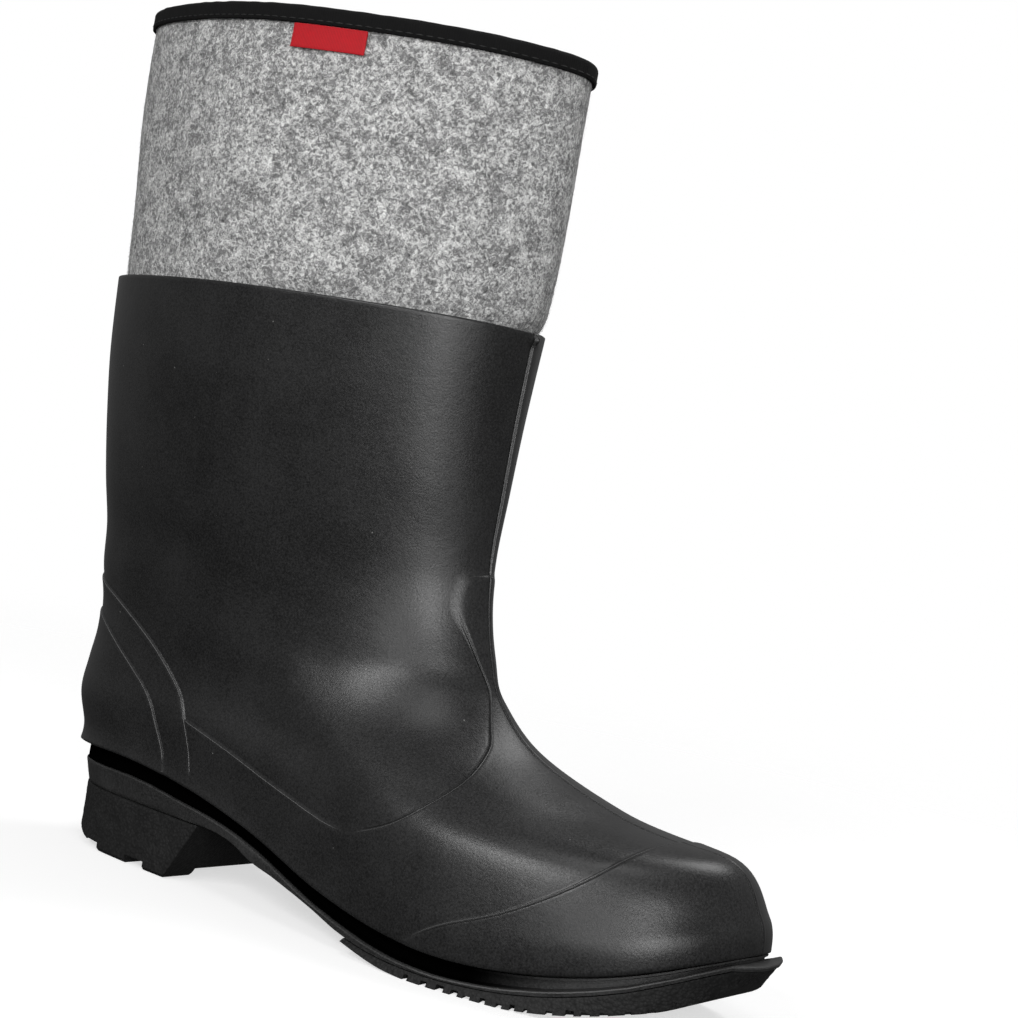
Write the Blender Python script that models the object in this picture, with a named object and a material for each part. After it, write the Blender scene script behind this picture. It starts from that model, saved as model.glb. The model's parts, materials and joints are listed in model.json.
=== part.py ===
"""Felt-lined rubber boot for the right foot, modelled as the pieces that its maker puts together.

Lengths are in millimetres until a mesh is made. x runs from the heel to the toe, y to the
wearer's left and z up from the floor. The moulded rubber upper is one hollow wall, lofted
through the sections of the last and open at the collar and underneath. The counter, vamp and
toe cap are steps in its wall. A felt shaft stands inside the collar, with a binding over its rim.
"""

from collections import namedtuple

import bmesh
import bpy
import numpy as np

MM = 0.001
GAP = 0.3
STAND_X = 139.2

RUBBER_WALL = 2.5
FELT_WALL = 4.5
BINDING_WALL = 1.2
BINDING_DROP = 7.0
INSOLE_THICKNESS = 2.5

# Fineness of the meshes: points round a section, rows of the free felt, samples along an edge
AROUND = 48
FELT_ROWS = 5
EDGE_SAMPLES = 600
SHARP_ANGLE = 35.0
TINY = 0.02

# Steps of the upper's wall: how far each stands out from the plain form, how deep it is rooted
# in the wall, and the rows of the form that it lies between
Step = namedtuple("Step", "out root low_row top_row")
VAMP = Step(out=0.7, root=1.2, low_row=0.20, top_row=8.0)
COUNTER = Step(out=1.0, root=1.0, low_row=0.27, top_row=7.0)
INNER_COUNTER = Step(out=1.8, root=0.8, low_row=0.37, top_row=6.0)
TOE_CAP = Step(out=1.5, root=0.9, low_row=0.34, top_row=4.0)
SEAM = Step(out=0.9, root=1.1, low_row=0.42, top_row=10.96)
SEAM_WIDTH = 2.4
SEAM_PIECES = 26
SEAM_LEAVES_VAMP_ROWS = (7.4, 7.8)
SEAM_LEAVES_CAP_ROWS = (2.7, 3.1)

# Sole edge, measured out from the feather line: the lip, the band's lower edge and the bottom of
# the groove between the lip and the flange that carries the upper
Edge = namedtuple("Edge", "x out")
LIP = (Edge(0, -1.4), Edge(85, -1.4), Edge(112, 0.2), Edge(160, 0.8), Edge(200, 1.0), Edge(292, 1.0))
BAND_LOW = (
    Edge(0, -3.6), Edge(85, -3.6), Edge(112, -0.6), Edge(160, 0.2), Edge(200, 0.6), Edge(292, 0.6),
)
GROOVE_IN = (
    Edge(0, -1.8), Edge(22, -2.2), Edge(50, -4.8), Edge(230, -4.8), Edge(270, -3.0), Edge(292, -0.6),
)
TOE_LIP_EXTRA = 4.2
TOE_LIP_TURNS = (2.2, 3.0)
LIP_ROUND = 0.6
FLANGE_OUT = -0.4
FLANGE_THICKNESS = 0.7
INSOLE_IN = 4.6

TREAD_BACK = 170.0
TREAD_OUT = 0.6
TREAD_FLARE = 1.4
TOE_TAPER = 5.4
TREAD_AROUND = 50
NOTCH_WIDTH = 2.2
NOTCH_DEPTH = 3.0
NOTCH_HEIGHT = 1.6
NOTCH_BELOW = 4.0
NOTCH_PITCH = 7.0
NOTCH_START = 26.0
BAR_PITCH = 11.0
BAR_GROOVE = 2.8
BAR_DEPTH = 1.8
BAR_INSET = 9.0
BAR_START_X = 203.0
BAR_END_X = 284.0

# Heel block: its outline follows the footprint, with a straight breast, blocks to stand on and a
# back edge that rises off the floor
HEEL_TOP_OUT = -3.6
HEEL_LOW_OUT = -4.1
HEEL_TOP_BREAST = 91.0
HEEL_LOW_BREAST = 78.4
HEEL_AROUND = 32
HEEL_BEVEL = 1.2
HEEL_BACK_RISE = 5.0
HEEL_BACK_RISE_X = (14.0, 42.0)
HEEL_GROOVE_DEPTH = 3.0
HEEL_WIDE = 60.0
Span = namedtuple("Span", "low_x high_x low_y high_y")
HEEL_GROOVES = (
    Span(30.5, 40.5, -HEEL_WIDE, HEEL_WIDE),
    Span(57.0, 67.0, -HEEL_WIDE, HEEL_WIDE),
    Span(66.0, 95.0, -15.0, HEEL_WIDE),
)

TAB_START_X = 83.0
TAB_LENGTH = 27.0
TAB_HEIGHT = 8.5
TAB_THICKNESS = 0.8
TAB_POINTS = 6

# One row per level, from the feather line up to the collar. Each row has its ends at the back
# and the front, half widths at heel, waist and ball, the roundness of its two ends, how sharp
# its front ridge is and how far it follows the dip of the feather line. The half widths and the
# ends change over into each other between these parts of the length.
ROUND_RIDGE = 0.5
HEEL_TO_WAIST = (0.12, 0.50)
WAIST_TO_BALL = (0.45, 0.72)
REAR_TO_FORE = (0.30, 0.70)
Section = namedtuple(
    "Section", "back_x back_z front_x front_z rear mid fore rear_round fore_round ridge dip"
)
UPPER = (
    Section(12.4, 35.5, 292.1, 29.6, 34.2, 41.0, 47.8, 6.0, 4.0, 0.50, 1.00),
    Section(11.2, 42.5, 289.4, 41.5, 34.6, 41.7, 48.8, 5.5, 3.8, 0.50, 0.90),
    Section(6.4, 54.5, 276.3, 60.2, 35.1, 42.0, 46.5, 5.0, 3.2, 0.52, 0.60),
    Section(7.2, 67.0, 237.5, 65.9, 34.3, 38.0, 41.7, 4.4, 2.8, 0.54, 0.30),
    Section(8.7, 79.0, 202.9, 75.0, 33.4, 36.9, 37.8, 4.0, 2.4, 0.60, 0.10),
    Section(7.7, 90.6, 184.6, 88.0, 33.5, 38.0, 36.0, 3.6, 2.2, 0.64, 0.00),
    Section(3.8, 103.6, 177.3, 101.7, 35.0, 39.6, 37.0, 3.2, 2.1, 0.66, 0.00),
    Section(2.0, 118.5, 171.9, 118.5, 37.7, 42.2, 39.7, 2.8, 2.0, 0.67, 0.00),
    Section(-2.5, 136.4, 169.1, 136.5, 41.3, 45.4, 43.4, 2.5, 2.0, 0.65, 0.00),
    Section(-6.8, 158.0, 168.5, 158.8, 45.0, 49.0, 47.0, 2.3, 2.0, 0.61, 0.00),
    Section(-10.3, 181.5, 168.2, 184.2, 48.2, 52.3, 50.2, 2.2, 2.0, 0.58, 0.00),
    Section(-12.5, 209.5, 168.6, 215.0, 50.9, 55.0, 53.0, 2.1, 2.0, 0.55, 0.00),
)
FELT = (
    Section(-9.1, 209.5, 165.2, 215.0, 47.9, 52.0, 50.0, 2.1, 2.0, 0.55, 0.00),
    Section(-9.9, 217.0, 168.2, 222.0, 49.0, 53.2, 51.0, 2.1, 2.0, 0.56, 0.00),
    Section(-11.6, 238.0, 169.3, 241.5, 50.0, 54.2, 51.8, 2.1, 2.0, 0.57, 0.00),
    Section(-15.8, 272.0, 169.0, 274.0, 50.9, 55.0, 52.4, 2.1, 2.0, 0.58, 0.00),
    Section(-17.4, 308.0, 168.3, 309.0, 50.9, 55.0, 52.4, 2.1, 2.0, 0.59, 0.00),
)
FELT_TOP = len(FELT) - 1
COLLAR = len(UPPER) - 1
OUTSIDE_ROWS = np.arange(0.0, COLLAR + 0.1, 0.5)
INSIDE_ROWS = np.concatenate([np.arange(0.0, 4.1, 0.5), np.arange(5.0, COLLAR + 0.1)])
FELT_TUCK_ROWS = (9.0, 10.0, 10.7)

# Heights along the boot: the feather line, which is the upper's lower edge, the groove below it,
# the sole's underside and the tread's underside
Height = namedtuple("Height", "x z")
FEATHER = (
    Height(0, 35.5), Height(30, 37.4), Height(55, 37.8), Height(85, 34.8), Height(120, 27.4),
    Height(155, 16.4), Height(195, 9.9), Height(215, 9.5), Height(240, 12.2), Height(265, 18.4),
    Height(292, 29.6),
)
GROOVE = (
    Height(0, 5.8), Height(60, 6.4), Height(85, 6.2), Height(105, 4.7), Height(160, 4.9),
    Height(200, 5.3), Height(245, 4.3), Height(265, 3.5), Height(292, 2.0),
)
SOLE_LOW = (
    Height(0, 22.2), Height(57, 22.4), Height(84, 22.4), Height(102, 22.8), Height(112, 21.4),
    Height(120, 18.4), Height(133, 15.6), Height(150, 11.2), Height(166, 6.5), Height(182, 3.9),
    Height(200, 3.0), Height(220, 3.5), Height(240, 6.0), Height(265, 13.2), Height(292, 26.0),
)
TREAD_LOW = (
    Height(170, 4.4), Height(178, 2.6), Height(188, 0.8), Height(198, 0.0), Height(232, 0.0),
    Height(250, 2.4), Height(266, 6.3), Height(281, 11.8), Height(290, 18.2), Height(297, 25.0),
)

# The last's middle line swings inward at the toe and outward at the waist, less so higher up
TOE_SWING = 8.7
TOE_SWING_POWER = 1.8
SWING_START_X = 145.0
SWING_LENGTH = 145.0
WAIST_SWING = 3.9
WAIST_X = 189.0
WAIST_REACH = 53.0
SWING_TOP_Z = 126.0
SWING_FADE = 87.0

# Lines of the overlays as seen from the side, from the back or top down
Point = namedtuple("Point", "x z")
COUNTER_LINE = (
    Point(-12, 106), Point(16, 97), Point(32, 92), Point(54, 81.5), Point(73, 67.5),
    Point(80, 57), Point(84.5, 47), Point(87, 36), Point(88, 20),
)
INNER_COUNTER_LINE = (
    Point(-12, 93), Point(18, 85), Point(37, 76), Point(58, 63.5), Point(67, 52),
    Point(73, 40), Point(77, 20),
)
VAMP_LINE = (
    Point(182, 131), Point(167.5, 129), Point(165.2, 124), Point(166.3, 116), Point(171.5, 107),
    Point(186.5, 82.5), Point(193, 73), Point(195, 63), Point(186, 51), Point(174, 43.5),
    Point(158, 39.6), Point(130, 45.4), Point(104, 52.4), Point(76, 59),
)
TOE_CAP_LINE = (
    Point(268, 70), Point(260, 59), Point(253, 50), Point(241, 39), Point(225, 28.5),
    Point(206, 19.5), Point(194, 10), Point(190, -2),
)
LINE_PIECES = 3
BEYOND = 40.0
PAST_HEEL = -BEYOND
PAST_TOE = 300.0 + BEYOND

FINISHES = {
    "upper": ((0.024, 0.024, 0.025), 0.46),
    "sole": ((0.028, 0.028, 0.028), 0.60),
    "forefoot_tread": ((0.017, 0.017, 0.017), 0.75),
    "heel": ((0.017, 0.017, 0.017), 0.75),
    "felt_shaft": ((0.28, 0.28, 0.28), 0.95),
    "binding": ((0.006, 0.006, 0.006), 0.90),
    "label_tab": ((0.55, 0.012, 0.022), 0.70),
    "insole": ((0.20, 0.20, 0.20), 0.95),
}


def blend(low, high, value):
    """Smooth step from 0 at low to 1 at high."""
    part = np.clip((value - low) / (high - low), 0.0, 1.0)
    return part * part * (3.0 - 2.0 * part)


def curve_through(points, x):
    """Height at x on a smooth curve through the points of a table."""
    xs, zs = np.array(points, float).T
    slopes = np.gradient(zs, xs)
    x = np.clip(x, xs[0], xs[-1])
    i = np.clip(np.searchsorted(xs, x, side="right") - 1, 0, len(xs) - 2)
    width = xs[i + 1] - xs[i]
    t = (x - xs[i]) / width
    start = (2 * t**3 - 3 * t**2 + 1) * zs[i] + (t**3 - 2 * t**2 + t) * width * slopes[i]
    end = (3 * t**2 - 2 * t**3) * zs[i + 1] + (t**3 - t**2) * width * slopes[i + 1]
    return start + end


def through_rows(rows, s):
    """Values at fractional row s, on a smooth curve through the rows."""
    rows = np.array(rows, float)
    last = len(rows) - 1
    s = np.asarray(s, float)
    i = np.clip(np.floor(s).astype(int), 0, last - 1)
    f = (s - i)[..., None]
    before = rows[np.clip(i - 1, 0, last)]
    here = rows[i]
    after = rows[i + 1]
    later = rows[np.clip(i + 2, 0, last)]
    slope = after - before
    bend = 2 * before - 5 * here + 4 * after - later
    twist = 3 * here - before - 3 * after + later
    return 0.5 * (2 * here + slope * f + bend * f**2 + twist * f**3)


def middle_y(x, z):
    """Sideways place of the last's middle line, which swings inward at the toe."""
    toe = TOE_SWING * np.clip((x - SWING_START_X) / SWING_LENGTH, 0.0, 1.0) ** TOE_SWING_POWER
    waist = WAIST_SWING * np.exp(-(((x - WAIST_X) / WAIST_REACH) ** 2))
    low = np.clip((SWING_TOP_Z - z) / SWING_FADE, 0.0, 1.0)
    return (toe - waist) * low


def on_form(sections, s, turn):
    """Points at row s and turn, which is 0 at the back, pi at the front, lateral side first."""
    row = Section(*np.moveaxis(through_rows(sections, s), -1, 0))
    u = (1.0 - np.cos(turn)) / 2.0
    x = row.back_x + (row.front_x - row.back_x) * u
    ends = FEATHER[0].z + (FEATHER[-1].z - FEATHER[0].z) * u
    z = row.back_z + (row.front_z - row.back_z) * u + row.dip * (curve_through(FEATHER, x) - ends)
    half = blend(*REAR_TO_FORE, u)
    power = row.rear_round + (row.fore_round - row.rear_round) * half
    sharpness = ROUND_RIDGE + (row.ridge - ROUND_RIDGE) * half
    out = np.clip(1.0 - np.abs(2.0 * u - 1.0) ** power, 0.0, 1.0) ** sharpness
    to_mid = blend(*HEEL_TO_WAIST, u)
    to_fore = blend(*WAIST_TO_BALL, u)
    width = row.rear * (1 - to_mid) + row.mid * (to_mid - to_fore) + row.fore * to_fore
    side = np.where(np.sin(turn) >= 0, -1.0, 1.0)
    return np.stack([x, middle_y(x, z) + side * width * out, z], -1)


def skin(sections, s, turn, grow=0.0):
    """The form's surface, moved out by grow along its normal."""
    turn = np.asarray(turn, float)
    s = np.broadcast_to(np.asarray(s, float), turn.shape)
    last = len(sections) - 1
    above = on_form(sections, np.minimum(s + TINY, last), turn)
    below = on_form(sections, np.maximum(s - TINY, 0.0), turn)
    along = on_form(sections, s, turn + TINY) - on_form(sections, s, turn - TINY)
    normal = np.cross(along, above - below)
    normal /= np.linalg.norm(normal, axis=-1, keepdims=True)
    return on_form(sections, s, turn) + grow * normal


def turns(count=AROUND):
    """Even turns round a section, starting at the back."""
    return np.arange(count) * (2.0 * np.pi / count)


def footprint(turn, grow):
    """The feather line in plan, moved out by grow."""
    feather_row = np.zeros_like(turn)
    here = on_form(UPPER, feather_row, turn)
    along = on_form(UPPER, feather_row, turn + TINY) - on_form(UPPER, feather_row, turn - TINY)
    length = np.hypot(along[:, 0], along[:, 1])
    x = here[:, 0] + grow * along[:, 1] / length
    y = here[:, 1] - grow * along[:, 0] / length
    return x, y


def level_ring(turn, grow, height):
    """A ring round the footprint, with its height worked out from x."""
    x, y = footprint(turn, grow)
    return np.stack([x, y, height(x)], -1)


def feather_z(x):
    """Height of the feather line."""
    return curve_through(FEATHER, x)


def lip_top_z(x):
    """Height of the lip's top, below the groove."""
    return feather_z(x) - curve_through(GROOVE, x)


def sole_low_z(x):
    """Height of the sole's underside, which the heel and the tread hang from."""
    return curve_through(SOLE_LOW, x)


def at_toe(turn):
    """How far round to the toe a turn is, from 0 at the sides to 1."""
    return blend(*TOE_LIP_TURNS, np.minimum(turn, 2.0 * np.pi - turn))


def edge_out(edges, turn):
    """How far an edge of the sole stands out, a little more round the toe."""
    return curve_through(edges, footprint(turn, 0.0)[0]) + TOE_LIP_EXTRA * at_toe(turn)


def new_object(name, points, faces, collection):
    """A mesh object from points in millimetres, with its faces turned outward."""
    mesh = bpy.data.meshes.new(name)
    world = (np.asarray(points, float) - (STAND_X, 0.0, 0.0)) * MM
    mesh.from_pydata(world.tolist(), [], faces)
    work = bmesh.new()
    work.from_mesh(mesh)
    bmesh.ops.recalc_face_normals(work, faces=work.faces)
    work.to_mesh(mesh)
    work.free()
    mesh.shade_smooth()
    mesh.set_sharp_from_angle(angle=np.radians(SHARP_ANGLE))
    obj = bpy.data.objects.new(name, mesh)
    collection.objects.link(obj)
    return obj


def band_faces(count, rings, joined):
    """Triangles between neighbouring rings, and from the last ring to the first where joined."""
    pairs = [(i, i + 1) for i in range(rings - 1)]
    if joined:
        pairs.append((rings - 1, 0))
    faces = []
    for low, high in pairs:
        for k in range(count):
            n = (k + 1) % count
            faces.append((low * count + k, low * count + n, high * count + n))
            faces.append((low * count + k, high * count + n, high * count + k))
    return faces


def cap_faces(count, start, pointed):
    """A cap of strips across a ring, between its two sides.

    A pointed ring has one point in the middle of each end, and a ring that isn't has none.
    """
    half = count // 2
    if not pointed:
        return [
            (start + k, start + k + 1, start + count - 2 - k, start + count - 1 - k)
            for k in range(half - 1)
        ]
    faces = [(start, start + 1, start + count - 1)]
    for k in range(1, half - 1):
        faces.append((start + k, start + k + 1, start + count - k - 1, start + count - k))
    faces.append((start + half - 1, start + half, start + half + 1))
    return faces


def sleeve(name, rings, collection):
    """A hollow wall: its rings go up the outside and down the inside, and close on themselves."""
    count = len(rings[0])
    return new_object(name, np.concatenate(rings), band_faces(count, len(rings), True), collection)


def capped(name, rings, collection, pointed=True):
    """A solid through its rings, capped at both ends."""
    count = len(rings[0])
    faces = band_faces(count, len(rings), False)
    faces += cap_faces(count, 0, pointed) + cap_faces(count, count * (len(rings) - 1), pointed)
    return new_object(name, np.concatenate(rings), faces, collection)


def as_helper(obj):
    """Marks a cutter or an overlay's blank, which isn't a piece of its own."""
    obj.hide_render = True
    obj.display_type = "WIRE"
    return obj


def cut(obj, other, operation):
    """Adds a Boolean of obj with other."""
    modifier = obj.modifiers.new(f"{operation.lower()}_{other.name}", "BOOLEAN")
    modifier.operation = operation
    modifier.object = other
    modifier.solver = "EXACT"


def overlay_outline(name, line, past_end, helpers):
    """A prism across the boot, between a smooth line and the corners past one end of the boot."""
    rows = np.linspace(0, len(line) - 1, LINE_PIECES * (len(line) - 1) + 1)
    corners = np.array([(line[-1].x, -BEYOND), (past_end, -BEYOND), (past_end, line[0].z)])
    outline = np.concatenate([through_rows(line, rows), corners])
    count = len(outline)
    sides = [np.insert(outline, 1, y, axis=1) for y in (-2 * BEYOND, 2 * BEYOND)]
    faces = band_faces(count, 2, False) + [tuple(range(count)), tuple(range(count, 2 * count))]
    return as_helper(new_object(name, np.concatenate(sides), faces, helpers))


def overlay(name, step, line, past_end, helpers):
    """A layer of the upper's own form, standing out by its step and cut to its line."""
    between = (OUTSIDE_ROWS > step.low_row) & (OUTSIDE_ROWS <= step.top_row)
    rows = np.concatenate([[step.low_row], OUTSIDE_ROWS[between]])
    outer = [skin(UPPER, row, turns(), step.out) for row in rows]
    inner = [skin(UPPER, row, turns(), -step.root) for row in rows[::-1]]
    layer = as_helper(sleeve(f"{name}_layer", outer + inner, helpers))
    cut(layer, overlay_outline(f"{name}_outline", line, past_end, helpers), "INTERSECT")
    return layer


def seam_rib(helpers):
    """The rib that the mould leaves down the middle of the front and over the toe."""
    front = np.array([np.pi])
    aside = np.array([0.0, SEAM_WIDTH / 2, 0.0])
    crown = np.array([0.0, SEAM_WIDTH / 4, 0.0])
    rings = []
    for row in np.linspace(SEAM.low_row, SEAM.top_row, SEAM_PIECES):
        on_vamp = VAMP.out * (1.0 - blend(*SEAM_LEAVES_VAMP_ROWS, row))
        on_toe_cap = (TOE_CAP.out - VAMP.out) * (1.0 - blend(*SEAM_LEAVES_CAP_ROWS, row))
        low = skin(UPPER, row, front, -SEAM.root)[0]
        high = skin(UPPER, row, front, SEAM.out + on_vamp + on_toe_cap)[0]
        rings.append(np.array([low - aside, high - crown, high + crown, low + aside]))
    faces = band_faces(4, len(rings), False)
    faces += [(0, 1, 2, 3), tuple(4 * len(rings) - k for k in (1, 2, 3, 4))]
    return as_helper(new_object("seam_rib", np.concatenate(rings), faces, helpers))


def build_upper(parts, helpers):
    """The moulded rubber upper, with the steps of its vamp, counter and toe cap."""
    outer = [skin(UPPER, row, turns()) for row in OUTSIDE_ROWS]
    inner = [skin(UPPER, row, turns(), -RUBBER_WALL) for row in INSIDE_ROWS[::-1]]
    upper = sleeve("upper", outer + inner, parts)
    layers = [
        overlay("vamp", VAMP, VAMP_LINE, PAST_TOE, helpers),
        overlay("counter", COUNTER, COUNTER_LINE, PAST_HEEL, helpers),
        overlay("inner_counter", INNER_COUNTER, INNER_COUNTER_LINE, PAST_HEEL, helpers),
        overlay("toe_cap", TOE_CAP, TOE_CAP_LINE, PAST_TOE, helpers),
        seam_rib(helpers),
    ]
    for layer in layers:
        cut(upper, layer, "UNION")
    return upper


def build_sole(parts):
    """The full-length sole: a flange under the upper, a groove, a lip and the band below it."""
    turn = turns()
    lip = edge_out(LIP, turn)
    groove_in = curve_through(GROOVE_IN, footprint(turn, 0.0)[0])
    under_flange = GAP + FLANGE_THICKNESS
    rings = [
        level_ring(turn, FLANGE_OUT, lambda x: feather_z(x) - GAP),
        level_ring(turn, FLANGE_OUT, lambda x: feather_z(x) - under_flange),
        level_ring(turn, groove_in, lambda x: feather_z(x) - under_flange - LIP_ROUND / 2),
        level_ring(turn, groove_in, lambda x: lip_top_z(x) + LIP_ROUND / 2),
        level_ring(turn, lip - LIP_ROUND, lip_top_z),
        level_ring(turn, lip, lambda x: lip_top_z(x) - LIP_ROUND),
        level_ring(turn, edge_out(BAND_LOW, turn), sole_low_z),
    ]
    return capped("sole", rings, parts)


def box_cutter(centre, along, half_sizes):
    """Eight corners of a box whose first side lies along a direction in plan."""
    along = np.array([along[0], along[1], 0.0])
    across = np.array([-along[1], along[0], 0.0])
    up = np.array([0.0, 0.0, 1.0])
    corners = []
    for rise in (-1, 1):
        for a, b in ((-1, -1), (1, -1), (1, 1), (-1, 1)):
            corners.append(
                np.asarray(centre) + a * half_sizes[0] * along + b * half_sizes[1] * across
                + rise * half_sizes[2] * up
            )
    return corners


def cutter_of_boxes(name, boxes, helpers):
    """One cutter made of separate boxes."""
    faces = []
    for i in range(len(boxes)):
        sides = [(0, 3, 2, 1), (4, 5, 6, 7), (0, 1, 5, 4), (1, 2, 6, 5), (2, 3, 7, 6), (3, 0, 4, 7)]
        faces += [tuple(8 * i + k for k in side) for side in sides]
    return as_helper(new_object(name, np.concatenate(boxes), faces, helpers))


def fore_turns(count):
    """Turns round the forefoot, from the tread's lateral back corner to its medial one."""
    lateral = np.linspace(np.pi / 4, np.pi, EDGE_SAMPLES)
    start = np.interp(TREAD_BACK, footprint(lateral, TREAD_OUT)[0], lateral)
    return np.linspace(start, 2 * np.pi - start, count)


def tread_out(turn):
    """How far the tread stands out, following the lip round the toe."""
    return TREAD_OUT + (TOE_LIP_EXTRA - LIP_ROUND) * at_toe(turn)


def tread_low_z(x):
    """Height of the tread's underside: flat under the ball, rising to the toe."""
    return np.maximum(curve_through(TREAD_LOW, x), 0.0)


def edge_notches():
    """Boxes that notch the tread's edge, evenly spaced round it."""
    turn = fore_turns(EDGE_SAMPLES)
    x, y = footprint(turn, tread_out(turn))
    run = np.concatenate([[0.0], np.cumsum(np.hypot(np.diff(x), np.diff(y)))])
    places = np.arange(NOTCH_START, run[-1] - NOTCH_START, NOTCH_PITCH)
    boxes = []
    for at_x, at_y, dx, dy in zip(
        np.interp(places, run, x), np.interp(places, run, y),
        np.interp(places, run, np.gradient(x, run)), np.interp(places, run, np.gradient(y, run)),
    ):
        z = tread_low_z(at_x)
        half_height = (NOTCH_HEIGHT + NOTCH_BELOW) / 2
        centre = (at_x, at_y, z + NOTCH_HEIGHT - half_height)
        boxes.append(box_cutter(centre, (dx, dy), (NOTCH_WIDTH / 2, NOTCH_DEPTH, half_height)))
    return boxes


def bar_grooves():
    """Boxes that part the bars across the tread's underside."""
    turn = fore_turns(EDGE_SAMPLES)
    x, y = footprint(turn, tread_out(turn))
    lateral = turn <= np.pi
    boxes = []
    for at_x in np.arange(BAR_START_X, BAR_END_X, BAR_PITCH):
        low_y = np.interp(at_x, x[lateral], y[lateral]) + BAR_INSET
        high_y = np.interp(-at_x, -x[~lateral], y[~lateral]) - BAR_INSET
        centre = (at_x, (low_y + high_y) / 2, tread_low_z(at_x))
        half_sizes = (BAR_GROOVE / 2, (high_y - low_y) / 2, BAR_DEPTH)
        boxes.append(box_cutter(centre, (1.0, 0.0), half_sizes))
    return boxes


def build_tread(parts, helpers):
    """The forefoot tread, with bars across its underside and notches round its edge."""
    turn = fore_turns(TREAD_AROUND)
    out = tread_out(turn)
    rings = [
        level_ring(turn, out, lambda x: sole_low_z(x) - GAP),
        level_ring(turn, out + TREAD_FLARE - TOE_TAPER * at_toe(turn), tread_low_z),
    ]
    tread = capped("forefoot_tread", rings, parts, pointed=False)
    cut(tread, cutter_of_boxes("tread_notches", edge_notches(), helpers), "DIFFERENCE")
    cut(tread, cutter_of_boxes("tread_grooves", bar_grooves(), helpers), "DIFFERENCE")
    return tread


def heel_ring(out, breast, height):
    """A ring round the heel block, along the footprint and straight across its breast."""
    rear = np.linspace(0.0, np.pi / 2, EDGE_SAMPLES)
    end = np.interp(breast, footprint(rear, out)[0], rear)
    return level_ring(np.linspace(-end, end, HEEL_AROUND), out, height)


def heel_low_z(x):
    """Height of the heel's underside: flat, and rising to its back edge."""
    return HEEL_BACK_RISE * (1.0 - blend(*HEEL_BACK_RISE_X, x))


def build_heel(parts, helpers):
    """The heel block, with grooves that part the face that it stands on into blocks."""
    low_out = HEEL_LOW_OUT - HEEL_BEVEL
    rings = [
        heel_ring(HEEL_TOP_OUT, HEEL_TOP_BREAST, lambda x: sole_low_z(x) - GAP),
        heel_ring(HEEL_LOW_OUT, HEEL_LOW_BREAST, lambda x: heel_low_z(x) + HEEL_BEVEL),
        heel_ring(low_out, HEEL_LOW_BREAST - HEEL_BEVEL, heel_low_z),
    ]
    heel = capped("heel", rings, parts, pointed=False)
    for i, span in enumerate(HEEL_GROOVES):
        centre = ((span.low_x + span.high_x) / 2, (span.low_y + span.high_y) / 2, 0.0)
        half_sizes = (
            (span.high_x - span.low_x) / 2, (span.high_y - span.low_y) / 2, HEEL_GROOVE_DEPTH
        )
        boxes = [box_cutter(centre, (1.0, 0.0), half_sizes)]
        cut(heel, cutter_of_boxes(f"heel_groove_{i}", boxes, helpers), "DIFFERENCE")
    return heel


def build_insole(parts):
    """The insole that lies on the sole inside the upper."""
    turn = turns()
    rings = [
        level_ring(turn, -INSOLE_IN, feather_z),
        level_ring(turn, -INSOLE_IN, lambda x: feather_z(x) + INSOLE_THICKNESS),
    ]
    return capped("insole", rings, parts)


def build_felt(parts):
    """The felt shaft, standing inside the collar and flaring to the rubber's width above it."""
    turn = turns()
    free = np.linspace(0, FELT_TOP, FELT_ROWS)
    inside_rubber = RUBBER_WALL + GAP
    outer = [skin(UPPER, row, turn, -inside_rubber) for row in FELT_TUCK_ROWS]
    outer += [skin(FELT, row, turn) for row in free]
    inner = [skin(FELT, row, turn, -FELT_WALL) for row in free[::-2]]
    inner += [skin(UPPER, row, turn, -inside_rubber - FELT_WALL) for row in FELT_TUCK_ROWS[::-2]]
    return sleeve("felt_shaft", outer + inner, parts)


def felt_row(drop):
    """The felt's row at a distance below its rim."""
    return FELT_TOP - drop / (FELT[-1].back_z - FELT[-2].back_z)


def build_binding(parts):
    """The woven binding, folded over the felt's rim."""
    turn = turns()
    outside = GAP + BINDING_WALL
    inside = FELT_WALL + GAP
    innermost = inside + BINDING_WALL
    folded_round = (
        (outside, -BINDING_DROP), (outside, 0.0), (outside / 2, outside),
        (-FELT_WALL / 2, outside + GAP), (-inside, outside), (-innermost, 0.0),
        (-innermost, -BINDING_DROP),
    )
    next_to_felt = ((-inside, -BINDING_DROP), (-inside, GAP), (GAP, GAP), (GAP, -BINDING_DROP))
    rings = []
    for grow, rise in folded_round + next_to_felt:
        ring = skin(FELT, felt_row(max(-rise, 0.0)), turn, grow)
        rings.append(ring + (0.0, 0.0, max(rise, 0.0)))
    return sleeve("binding", rings, parts)


def build_tab(parts):
    """The small woven tab on the felt, just under the binding."""
    ends = np.array([TAB_START_X, TAB_START_X + TAB_LENGTH])
    length = FELT[-1].front_x - FELT[-1].back_x
    first, last = np.arccos(1.0 - 2.0 * (ends - FELT[-1].back_x) / length)
    along = np.linspace(first, last, TAB_POINTS)
    top = felt_row(BINDING_DROP + GAP)
    low = felt_row(BINDING_DROP + GAP + TAB_HEIGHT)
    rings = []
    for grow in (GAP, GAP + TAB_THICKNESS):
        upper_edge = skin(FELT, top, along, grow)
        lower_edge = skin(FELT, low, along, grow)
        rings.append(np.concatenate([upper_edge, lower_edge[::-1]]))
    return capped("label_tab", rings, parts, pointed=False)


def finish(obj):
    """Gives a piece its own material, from its colour and roughness."""
    colour, roughness = FINISHES[obj.name]
    material = bpy.data.materials.new(f"{obj.name}_finish")
    material.use_nodes = True
    shader = material.node_tree.nodes["Principled BSDF"]
    shader.inputs["Base Color"].default_value = (*colour, 1.0)
    shader.inputs["Roughness"].default_value = roughness
    shader.inputs["Metallic"].default_value = 0.0
    obj.data.materials.append(material)


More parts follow.
